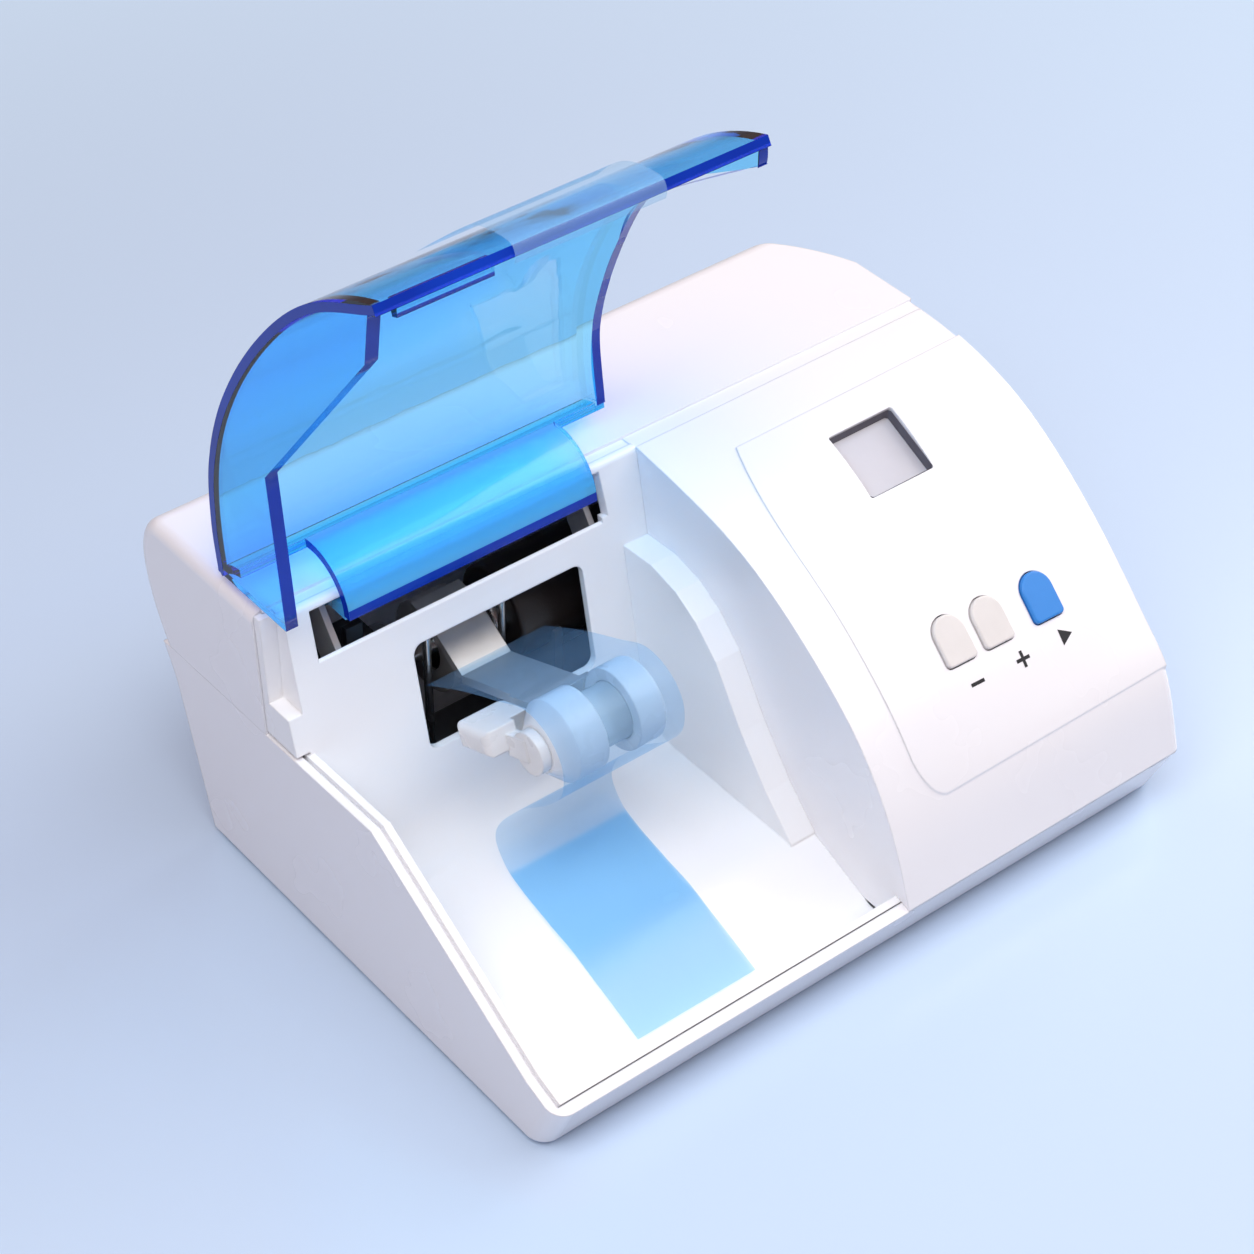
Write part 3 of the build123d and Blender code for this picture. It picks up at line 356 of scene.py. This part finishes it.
def tinted_polycarbonate(look):
    """Injection-moulded clear polycarbonate, tinted blue in the mass, so its thin walls are sky blue
    and deepen where light runs along them. Its IOR is matched, below the plastic's 1.58."""
    material, tree, output, place = new_material("tinted_polycarbonate")
    flow_mm = 45.5
    flow = add(tree, "ShaderNodeTexNoise", {},
               {"Vector": place, "Scale": 1000.0 / flow_mm, "Detail": 2.0})
    lift = add(tree, "ShaderNodeBump", {},
               {"Height": flow.outputs["Fac"], "Strength": 0.06, "Distance": 0.002})
    glass = add(tree, "ShaderNodeBsdfPrincipled", {},
                {"Base Color": hex_to_linear("EAF6FF"), "Transmission Weight": 1.0, "Roughness": 0.02,
                 "IOR": 1.46, "Normal": lift.outputs[0]})
    pane = add(tree, "ShaderNodeBsdfTransparent", {}, {"Color": hex_to_linear("CFEBFF")})
    path = add(tree, "ShaderNodeLightPath")
    pass_light = add(tree, "ShaderNodeMixShader", {},
                     {0: path.outputs["Is Shadow Ray"], 1: glass.outputs[0], 2: pane.outputs[0]})
    # The tongue, low and ahead of the hinge, gets a painted sheen: a pale cyan coat that stands in for
    # the bright reflection it shows, so it stays bright over the dark slot.
    where = add(tree, "ShaderNodeSeparateXYZ", {}, {0: place})
    ahead = add(tree, "ShaderNodeMapRange", {},
                {"Value": where.outputs["Y"], "From Min": PAINTED_SHEEN_Y[0], "From Max": PAINTED_SHEEN_Y[1]})
    low = add(tree, "ShaderNodeMapRange", {"interpolation_type": "SMOOTHSTEP"},
              {"Value": where.outputs["Z"], "From Min": PAINTED_SHEEN_Z[0], "From Max": PAINTED_SHEEN_Z[1],
               "To Max": PAINTED_SHEEN_SHARE})
    painted_sheen = add(tree, "ShaderNodeMath", {"operation": "MULTIPLY"}, {0: ahead.outputs[0], 1: low.outputs[0]})
    # Painted sheen: a pale cyan coat, mixed in where the tongue shows a bright reflection.
    dull = add(tree, "ShaderNodeBsdfPrincipled", {},
               {"Base Color": hex_to_linear("62CCFB"), "Roughness": 0.2, "IOR": 1.58})
    with_painted_sheen = add(tree, "ShaderNodeMixShader", {},
               {0: painted_sheen.outputs[0], 1: pass_light.outputs[0], 2: dull.outputs[0]})
    tree.links.new(with_painted_sheen.outputs[0], output.inputs["Surface"])
    mass = add(tree, "ShaderNodeVolumeAbsorption", {},
               {"Color": hex_to_linear(look.tint), "Density": look.depth})
    tree.links.new(mass.outputs[0], output.inputs["Volume"])
    return material


def edge_lit_polycarbonate():
    """Cut edges of the tinted lid: royal blue, the depth of the wall behind them, and glossy."""
    return finish("edge_lit_polycarbonate", "0340C0", "011E8A", roughness=0.14, spread=0.05, grain_mm=1.0,
                  bump=0.03, blotch_mm=25, IOR=1.4)


def loose_film(name, tight, slack, milk, skin):
    """Blown polyethylene film: thin and clear, with long glossy wrinkles. Where it is pulled round the
    clamp it keeps the slack colour; where it lies flat it clings and keeps the tight one, paler again
    at its cut end. milk is the share of light that its skin, of that colour, scatters."""
    material, tree, output, place = new_material(name)
    chart = add(tree, "ShaderNodeUVMap").outputs[0]
    along = add(tree, "ShaderNodeSeparateXYZ", {}, {0: chart}).outputs["Y"]
    lies = add(tree, "ShaderNodeMapRange", {"interpolation_type": "SMOOTHSTEP"},
               {"Value": along, "From Min": FILM_LIES[0], "From Max": FILM_LIES[1]})
    ends = add(tree, "ShaderNodeMapRange", {"interpolation_type": "SMOOTHSTEP"},
               {"Value": along, "From Min": FILM_END[0], "From Max": FILM_END[1],
                "To Max": FILM_END_SHARE})
    tone = add(tree, "ShaderNodeMix", {"data_type": "RGBA"},
               {0: lies.outputs[0], 6: hex_to_linear(slack), 7: hex_to_linear(tight)})
    tone = add(tree, "ShaderNodeMix", {"data_type": "RGBA"},
               {0: ends.outputs[0], 6: tone.outputs[2], 7: hex_to_linear(slack)})
    wrinkle_mm = 22.2
    pull = add(tree, "ShaderNodeTexNoise", {},
               {"Vector": place, "Scale": 1000.0 / wrinkle_mm, "Detail": 2.0})
    lift = add(tree, "ShaderNodeBump", {},
               {"Height": pull.outputs["Fac"], "Strength": 0.25, "Distance": 0.002})
    gloss = add(tree, "ShaderNodeMapRange", {},
                {"Value": pull.outputs["Fac"], "To Min": 0.08, "To Max": 0.22})
    haze = add(tree, "ShaderNodeBsdfPrincipled", {},
               {"Base Color": hex_to_linear(skin), "Roughness": gloss.outputs[0], "IOR": 1.5,
                "Normal": lift.outputs[0], "Coat Weight": 0.4, "Coat Roughness": 0.06})
    clear = add(tree, "ShaderNodeBsdfTransparent", {}, {"Color": tone.outputs[2]})
    mixed = add(tree, "ShaderNodeMixShader", {}, {0: milk, 1: clear.outputs[0], 2: haze.outputs[0]})
    tree.links.new(mixed.outputs[0], output.inputs["Surface"])
    return material


# ---- finishes of the stage -----------------------------------------------------------------------
def bench_top(look):
    """Polished laminate: even, with a faint reflection. Away from the object it fades, for what is
    seen, into the pale backdrop."""
    bench = finish("polished_laminate", look.floor, look.floor, roughness=0.2, spread=0.03, grain_mm=3.0,
                   bump=0.02, blotch_mm=400)
    tree = bench.node_tree
    output = next(node for node in tree.nodes if node.bl_idname == "ShaderNodeOutputMaterial")
    laminate = output.inputs["Surface"].links[0].from_socket
    place = add(tree, "ShaderNodeTexCoord").outputs["Object"]
    reach = add(tree, "ShaderNodeVectorMath", {"operation": "LENGTH"}, {0: place}).outputs["Value"]
    far = add(tree, "ShaderNodeMapRange", {"interpolation_type": "SMOOTHSTEP"},
              {"Value": reach, "From Min": BENCH_FADE[0], "From Max": BENCH_FADE[1],
               "To Max": BENCH_FADE_SHARE}).outputs[0]
    share = add(tree, "ShaderNodeMath", {"operation": "MULTIPLY"}, {0: far, 1: seen_straight(tree)})
    glow = add(tree, "ShaderNodeEmission", {}, {"Color": hex_to_linear(look.backdrop)})
    mixed = add(tree, "ShaderNodeMixShader", {}, {0: share.outputs[0], 1: laminate, 2: glow.outputs[0]})
    tree.links.new(mixed.outputs[0], output.inputs["Surface"])
    return bench


def studio_world(look):
    """A faint warm light from all round, with the plain backdrop where the eye looks past the bench."""
    world = bpy.data.worlds.new("studio")
    world.use_nodes = True
    tree = world.node_tree
    tree.nodes.clear()
    seen = seen_straight(tree)
    light = add(tree, "ShaderNodeBackground", {}, {"Color": hex_to_linear("FFDCDE"), "Strength": 0.26})
    shown = add(tree, "ShaderNodeBackground", {},
                {"Color": hex_to_linear(look.backdrop), "Strength": 1.0})
    mixed = add(tree, "ShaderNodeMixShader", {}, {0: seen, 1: light.outputs[0], 2: shown.outputs[0]})
    output = add(tree, "ShaderNodeOutputWorld", {}, {"Surface": mixed.outputs[0]})
    output.is_active_output = True
    return world


# ---- shape helpers -------------------------------------------------------------------------------
def curve_through(points, count):
    """Catmull-Rom curve: between two points each coordinate is the cubic whose slope at either end is
    half the step between that end's two neighbours. Returns count points, evenly spaced in the
    parameter."""
    p = np.asarray(points, float)
    p = np.vstack([2 * p[0] - p[1], p, 2 * p[-1] - p[-2]])
    t = np.linspace(0, len(p) - 3, count)
    i = np.minimum(t.astype(int), len(p) - 4)
    s = (t - i)[:, None]
    a, b, c, d = p[i], p[i + 1], p[i + 2], p[i + 3]
    square, cube = 2 * a - 5 * b + 4 * c - d, 3 * b - a - 3 * c + d
    return 0.5 * (2 * b + (c - a) * s + square * s ** 2 + cube * s ** 3)


def straight_through(line, count):
    """The same corners with count points on each straight run."""
    line = np.asarray(line, float)
    share = np.linspace(0, 1, count, endpoint=False)[:, None]
    return np.vstack([a + (b - a) * share for a, b in zip(line, line[1:])] + [line[-1:]])


def pushed(line, step):
    """A (y, z) line moved to its left by step: each point goes along the normal of its two
    neighbours' chord."""
    line = np.asarray(line, float)
    along = np.gradient(line, axis=0)
    along /= np.linalg.norm(along, axis=1)[:, None]
    return line + step * np.column_stack([-along[:, 1], along[:, 0]])


def in_section(line, x):
    """(y, z) points as (x, y, z), at one x or one x for each."""
    line = np.asarray(line, float)
    return np.column_stack([np.broadcast_to(x, len(line)), line])


def on_panel(place, outline, lift):
    """Corners (across, up) as points in a tilted plane, moved along its normal by lift."""
    origin, across, up = (np.array(v, float) for v in place)
    outline = np.asarray(outline, float)
    return origin + outline[:, :1] * across + outline[:, 1:] * up + lift * np.cross(across, up)


def as_piece(mesh, material, body):
    """Puts a mesh in the scene as a piece of its own name. A piece given no body is left unattached."""
    mesh.materials.append(material)
    piece = bpy.data.objects.new(mesh.name, mesh)
    bpy.context.scene.collection.objects.link(piece)
    if body:
        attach(piece, body)
    return piece


def surface(name, points, material, body):
    """A smooth mesh from a rows x columns grid of points in metres, with the two parameters as its
    UV map."""
    rows, columns = points.shape[:2]
    index = np.arange(rows * columns).reshape(rows, columns)
    faces = np.stack([index[:-1, :-1], index[1:, :-1], index[1:, 1:], index[:-1, 1:]], -1).reshape(-1, 4)
    mesh = bpy.data.meshes.new(name)
    mesh.from_pydata(points.reshape(-1, 3), [], faces.tolist())
    u, v = np.meshgrid(np.linspace(0, 1, columns), np.linspace(0, 1, rows))
    uv = np.stack([u, v], -1).reshape(-1, 2)
    mesh.uv_layers.new(name="UVMap").data.foreach_set("uv", uv[faces.ravel()].ravel())
    mesh.polygons.foreach_set("use_smooth", np.ones(len(faces), bool))
    return as_piece(mesh, material, body)


def band(name, first, second, material, body):
    """A ruled band: rows run straight from a point of the first curve, in millimetres, to the same
    point of the second."""
    return surface(name, np.stack([first, second], 1) / 1000, material, body)


def film(name, line, sides, columns, slide, material, body):
    """A film ruled straight across its middle line (y, z) from side to side in x, all in millimetres.
    slide(u, v) moves its points in x, with u from -1 to 1 across and v from 0 to 1 along. Returns the
    piece and the film's flat size in metres: its width, and the length of its middle line."""
    v = np.linspace(0, 1, len(line))[:, None]
    u = np.linspace(-1, 1, columns)[None, :]
    left, right = sides
    x = (left + right) / 2 + u * (right - left) / 2 + slide(u, v)
    y = np.broadcast_to(line[:, :1], x.shape)
    z = np.broadcast_to(line[:, 1:], x.shape)
    piece = surface(name, np.stack([x, y, z], -1) / 1000, material, body)
    length = float(np.linalg.norm(np.diff(line, axis=0), axis=1).sum()) / 1000
    return piece, ((right - left) / 1000, length)


def aimed(spot, target):
    """The matrix of a lamp at spot that shines at target."""
    spot, target = np.array(spot), np.array(target)
    back = (spot - target) / np.linalg.norm(spot - target)
    side = np.cross((0, 0, 1), back)
    side /= np.linalg.norm(side)
    matrix = np.eye(4)
    matrix[:3, 0] = side
    matrix[:3, 1] = np.cross(back, side)
    matrix[:3, 2] = back
    matrix[:3, 3] = spot
    return Matrix(matrix.tolist())


# ---- outlines ------------------------------------------------------------------------------------
def right_side(line, inset=0.0):
    """x of the lid's right side, which leans in as it rises, at each point of a (y, z) line."""
    return LID_RIGHT_MM - inset - LID_LEAN * (np.asarray(line)[:, 1] - LID_ARC_MM[0][1])


def lid_edge_curves():
    """The two long edges of each lit band on the rim of the lid's walls."""
    left, inside = LID_LEFT_MM
    wall = pushed(straight_through(LID_FREE_EDGE_MM, 10), -PROUD_MM)
    front = pushed(straight_through([LID_ARC_MM[-1], LID_FREE_EDGE_MM[0]], 4), -PROUD_MM)
    flange = pushed(curve_through([LID_ARC_MM[-1], *LID_FLANGE_MM], 60), -PROUD_MM)
    outer, inner = curve_through(LID_ARC_MM, 60), curve_through(LID_ARC_INSIDE_MM, 60)
    return {"wall": (in_section(wall, left), in_section(wall, inside)),
            "front": (in_section(front, left), in_section(front, right_side(front))),
            "flange": (in_section(flange, right_side(flange, LID_FLANGE_WALL_MM)),
                       in_section(flange, right_side(flange))),
            "outline": (in_section(inner, left - PROUD_MM), in_section(outer, left - PROUD_MM))}


def tongue_edge_curves():
    """The same for the hinge tongue: its two rolled sides, its end, its lip and the catch rib."""
    low, high = TONGUE_RADII_MM
    left, right = TONGUE_SIDES_MM
    turn = np.radians(np.linspace(*TONGUE_TURN_DEG, 40))[:, None]
    spoke = np.hstack([np.cos(turn), np.sin(turn)])
    lip = HINGE_MM + (high + PROUD_MM) * spoke[-TONGUE_LIP_POINTS:]
    end = np.array(HINGE_MM) + np.array([[low], [high]]) * spoke[-1] + np.array([0.0, -PROUD_MM])
    inner, outer = HINGE_MM + low * spoke, HINGE_MM + high * spoke
    return {"tongue_left": (in_section(inner, left - PROUD_MM), in_section(outer, left - PROUD_MM)),
            "tongue_right": (in_section(outer, right + PROUD_MM), in_section(inner, right + PROUD_MM)),
            "tongue_end": (in_section(end, left), in_section(end, right)),
            "tongue_lip": (in_section(lip, right), in_section(lip, left)),
            "catch": (in_section(CATCH_MM, CATCH_SIDES_MM[0]), in_section(CATCH_MM, CATCH_SIDES_MM[1]))}


def mark_outlines():
    """Minus, plus and a triangle that points right, as corners (across, up) in millimetres."""
    half, bar = MARK_HALF_MM, MARK_BAR_HALF_MM
    return {"less": [(-half, -bar), (half, -bar), (half, bar), (-half, bar)],
            "more": [(-half, -bar), (-bar, -bar), (-bar, -half), (bar, -half), (bar, -bar), (half, -bar),
                     (half, bar), (bar, bar), (bar, half), (-bar, half), (-bar, bar), (-half, bar)],
            "start": [(-half * 0.8, -half), (half, 0.0), (-half * 0.8, half)]}


# ---- operators -----------------------------------------------------------------------------------
class AMALGAMATOR_OT_stage(bpy.types.Operator):
    """Plain bench and backdrop, soft studio light and the camera"""
    bl_idname = "amalgamator.stage"
    bl_label = "Stage"

    def execute(self, context):
        look = context.scene.amalgamator_stage
        scene = context.scene
        scene.view_settings.view_transform = "Standard"
        mesh = bpy.data.meshes.new("bench")
        corners = [(x * BENCH_HALF, y * BENCH_HALF, 0) for x, y in ((-1, -1), (1, -1), (1, 1), (-1, 1))]
        mesh.from_pydata(corners, [], [(0, 1, 2, 3)])
        bench = bpy.data.objects.new("bench", mesh)
        scene.collection.objects.link(bench)
        mesh.materials.append(bench_top(look))
        scene.world = studio_world(look)

        # Square soft boxes: place and width in metres, power in watts.
        lamps = {"key": ((-0.6, -0.3, 1.1), 0.8, look.key_power),
                 "window": ((0.75, -0.35, 0.95), 0.9, 5.5),
                 "overhead": ((0.0, -0.5, 1.25), 0.8, 4.3),
                 "rim": ((1.1, 0.1, 0.5), 0.8, 5.5)}
        for name, (spot, size, power) in lamps.items():
            data = bpy.data.lights.new(name, "AREA")
            data.size = size
            data.energy = power
            lamp = bpy.data.objects.new(name, data)
            scene.collection.objects.link(lamp)
            lamp.matrix_world = aimed(spot, LAMP_TARGET)

        data = bpy.data.cameras.new("camera")
        data.sensor_width = SENSOR_MM
        data.lens = SENSOR_MM * FOCAL_PX / FRAME_PX
        camera = bpy.data.objects.new("camera", data)
        scene.collection.objects.link(camera)
        turn = Matrix.Rotation(math.radians(CAMERA_TURN_DEG), 4, "Z")
        tilt = Matrix.Rotation(math.pi / 2 - math.radians(CAMERA_RISE_DEG), 4, "X")
        roll = Matrix.Rotation(math.radians(CAMERA_ROLL_DEG), 4, "Z")
        camera.matrix_world = Matrix.Translation(CAMERA_SPOT) @ turn @ tilt @ roll
        scene.camera = camera
        return {"FINISHED"}


class AMALGAMATOR_OT_casing(bpy.types.Operator):
    """Moulded white shells and the well tray"""
    bl_idname = "amalgamator.casing"
    bl_label = "Casing"

    def execute(self, context):
        look = context.scene.amalgamator_casing
        dress(moulded_abs("white_abs_casing", look.shell, "F3F2F6", look.grain_mm), "base_shell",
              "rear_cover", "front_cover")
        dress(moulded_abs("white_abs_tray", "FAFAFB", "F5F6F9", look.grain_mm), "well_tray")
        return {"FINISHED"}


class AMALGAMATOR_OT_lid(bpy.types.Operator):
    """See-through blue lid"""
    bl_idname = "amalgamator.lid"
    bl_label = "Lid"

    def execute(self, context):
        dress(tinted_polycarbonate(context.scene.amalgamator_lid), "lid_shell")
        return {"FINISHED"}


class AMALGAMATOR_OT_lid_edges(bpy.types.Operator):
    """Cut edges of the lid, where the light gathered in the plastic comes out royal blue"""
    bl_idname = "amalgamator.lid_edges"
    bl_label = "Lid edges"

    def execute(self, context):
        glow = edge_lit_polycarbonate()
        for name, (first, second) in {**lid_edge_curves(), **tongue_edge_curves()}.items():
            band("lid_edge_" + name, first, second, glow, "lid")
        return {"FINISHED"}


class AMALGAMATOR_OT_lid_film(bpy.types.Operator):
    """Loose clear film over the lid's front edge"""
    bl_idname = "amalgamator.lid_film"
    bl_label = "Lid film"

    def execute(self, context):
        def pull(u, v):
            late = np.clip((v - LID_FILM_PULL_FROM) / LID_FILM_PULL_OVER, 0, 1)
            return LID_FILM_PULL_MM * late * (1 - u) / 2

        material = loose_film("blown_film_lid", "D2EEFF", "EDFAFF", 0.33, "A0CCF6")
        piece, flat = film("lid_film", curve_through(LID_FILM_MM, 60), LID_FILM_SIDES_MM, 21, pull,
                           material, "lid")
        return {"FINISHED"}


class AMALGAMATOR_OT_drive(bpy.types.Operator):
    """Motor, shaft, arm and the metal parts that hold them and the lid"""
    bl_idname = "amalgamator.drive"
    bl_label = "Drive"

    def execute(self, context):
        dress(machined_steel(), "hinge_rod", "lid_spring", "guide_rods", "motor_shaft", "ball_sleeve",
              "shaft_bearing", "motor_boss", "stop_rods", "case_screws")
        dress(zinc_plate(), "arm_plate", "arm_hub", "hinge_brackets")
        dress(galvanised_sheet(), "chassis_plate", "bearing_stand", "motor_cradle", "counterweight")
        dress(enamelled_can(), "motor_body")
        dress(turned_brass(), "inlet_pins")
        dress(moulded_rubber(), "rubber_feet", "rubber_mounts")
        return {"FINISHED"}


class AMALGAMATOR_OT_clamp(bpy.types.Operator):
    """The capsule's jaws, its sliding finger block and the capsule"""
    bl_idname = "amalgamator.clamp"
    bl_label = "Clamp"

    def execute(self, context):
        dress(moulded_acetal(), "clamp_slider", "ring_jaw", "jaw_cup")
        dress(clear_polystyrene(), "capsule")
        return {"FINISHED"}


class AMALGAMATOR_OT_controls(bpy.types.Operator):
    """Push keys, display and the electrics behind them"""
    bl_idname = "amalgamator.controls"
    bl_label = "Controls"

    def execute(self, context):
        look = context.scene.amalgamator_controls
        dress(silicone_key("grey_silicone_key", look.grey_key, "D9D5D3", 0.42), "button_minus",
              "button_plus")
        dress(silicone_key("blue_silicone_key", look.start_key, "2A80D2", 0.36), "button_start")
        dress(smoked_acrylic(), "display_lens")
        dress(black_nylon(), "display_module", "tact_switches", "mains_inlet", "fuse_drawer",
              "switch_frame", "switch_rocker", "lid_switch", "board_posts")
        dress(solder_mask(), "control_board", "power_board")
        dress(iron_core(), "transformer")
        return {"FINISHED"}


class AMALGAMATOR_OT_marks(bpy.types.Operator):
    """Signs printed beside the keys, and a grey band of painted shade round the display's window"""
    bl_idname = "amalgamator.marks"
    bl_label = "Marks"

    def execute(self, context):
        ink = printed_ink()
        cover = NODES["front_cover"]
        for name, outline in mark_outlines().items():
            # Each corner sits a film of ink above the nearest spot of the crowned panel.
            seats = [cover.closest_point_on_mesh(corner)
                     for corner in on_panel(MARKS[name], outline, 0.0) / 1000]
            corners = [spot + normal * INK_MM / 1000 for _, spot, normal, _ in seats]
            mesh = bpy.data.meshes.new("mark_" + name)
            mesh.from_pydata(corners, [], [list(range(len(corners)))])
            as_piece(mesh, ink, "root")
        # A grey band down the window's reveal: painted shade, where the reveal falls dark.
        ring = [*WINDOW_MM, WINDOW_MM[0]]
        deep, shallow = SHADE_LINING_DEPTHS_MM
        band("display_painted_reveal_shade", on_panel(DISPLAY, ring, deep), on_panel(DISPLAY, ring, shallow),
             painted_reveal_shade(), "root")
        return {"FINISHED"}


class AMALGAMATOR_OT_arm_film(bpy.types.Operator):
    """Loose clear film laid over the arm, round the capsule and down to the well's floor"""
    bl_idname = "amalgamator.arm_film"
    bl_label = "Arm film"

    def execute(self, context):
        def drift(u, v):
            late = np.clip((v - ARM_FILM_DRIFT_FROM) / ARM_FILM_DRIFT_OVER, 0, 1)
            return ARM_FILM_DRIFT_MM * late ** 2 * (3 - 2 * late)

        material = loose_film("blown_film_arm", context.scene.amalgamator_lid.film, "E4F4FF", 0.2, "94C4F4")
        piece, flat = film("arm_film", curve_through(ARM_FILM_MM, 180), ARM_FILM_SIDES_MM, 25, drift,
                           material, None)
        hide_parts("transit_film")
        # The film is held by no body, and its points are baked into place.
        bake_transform(piece)
        return {"FINISHED"}


class AMALGAMATOR_PT_panel(bpy.types.Panel):
    """Lists the looks, the pieces and the stage"""
    bl_idname = "AMALGAMATOR_PT_panel"
    bl_label = "Amalgamator"
    bl_space_type = "VIEW_3D"
    bl_region_type = "UI"
    bl_category = "Amalgamator"

    def draw(self, context):
        for group in GROUPS:
            look = getattr(context.scene, group)
            for key in look.__annotations__:
                self.layout.prop(look, key)
        for operator in OPERATORS:
            self.layout.operator(operator.bl_idname)


GROUPS = {"amalgamator_casing": AMALGAMATOR_PG_casing, "amalgamator_lid": AMALGAMATOR_PG_lid,
          "amalgamator_controls": AMALGAMATOR_PG_controls, "amalgamator_stage": AMALGAMATOR_PG_stage}
OPERATORS = (AMALGAMATOR_OT_stage, AMALGAMATOR_OT_casing, AMALGAMATOR_OT_lid, AMALGAMATOR_OT_lid_edges,
             AMALGAMATOR_OT_lid_film, AMALGAMATOR_OT_drive, AMALGAMATOR_OT_clamp,
             AMALGAMATOR_OT_controls, AMALGAMATOR_OT_marks, AMALGAMATOR_OT_arm_film)
CLASSES = (*GROUPS.values(), *OPERATORS, AMALGAMATOR_PT_panel)


def register():
    for cls in CLASSES:
        bpy.utils.register_class(cls)
    for name, group in GROUPS.items():
        setattr(bpy.types.Scene, name, bpy.props.PointerProperty(type=group))


def unregister():
    for name in GROUPS:
        delattr(bpy.types.Scene, name)
    for cls in reversed(CLASSES):
        bpy.utils.unregister_class(cls)


def main():
    """Registers the add-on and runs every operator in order."""
    register()
    for operator in OPERATORS:
        group, name = operator.bl_idname.split(".")
        getattr(getattr(bpy.ops, group), name)()


if __name__ == "__main__":
    main()
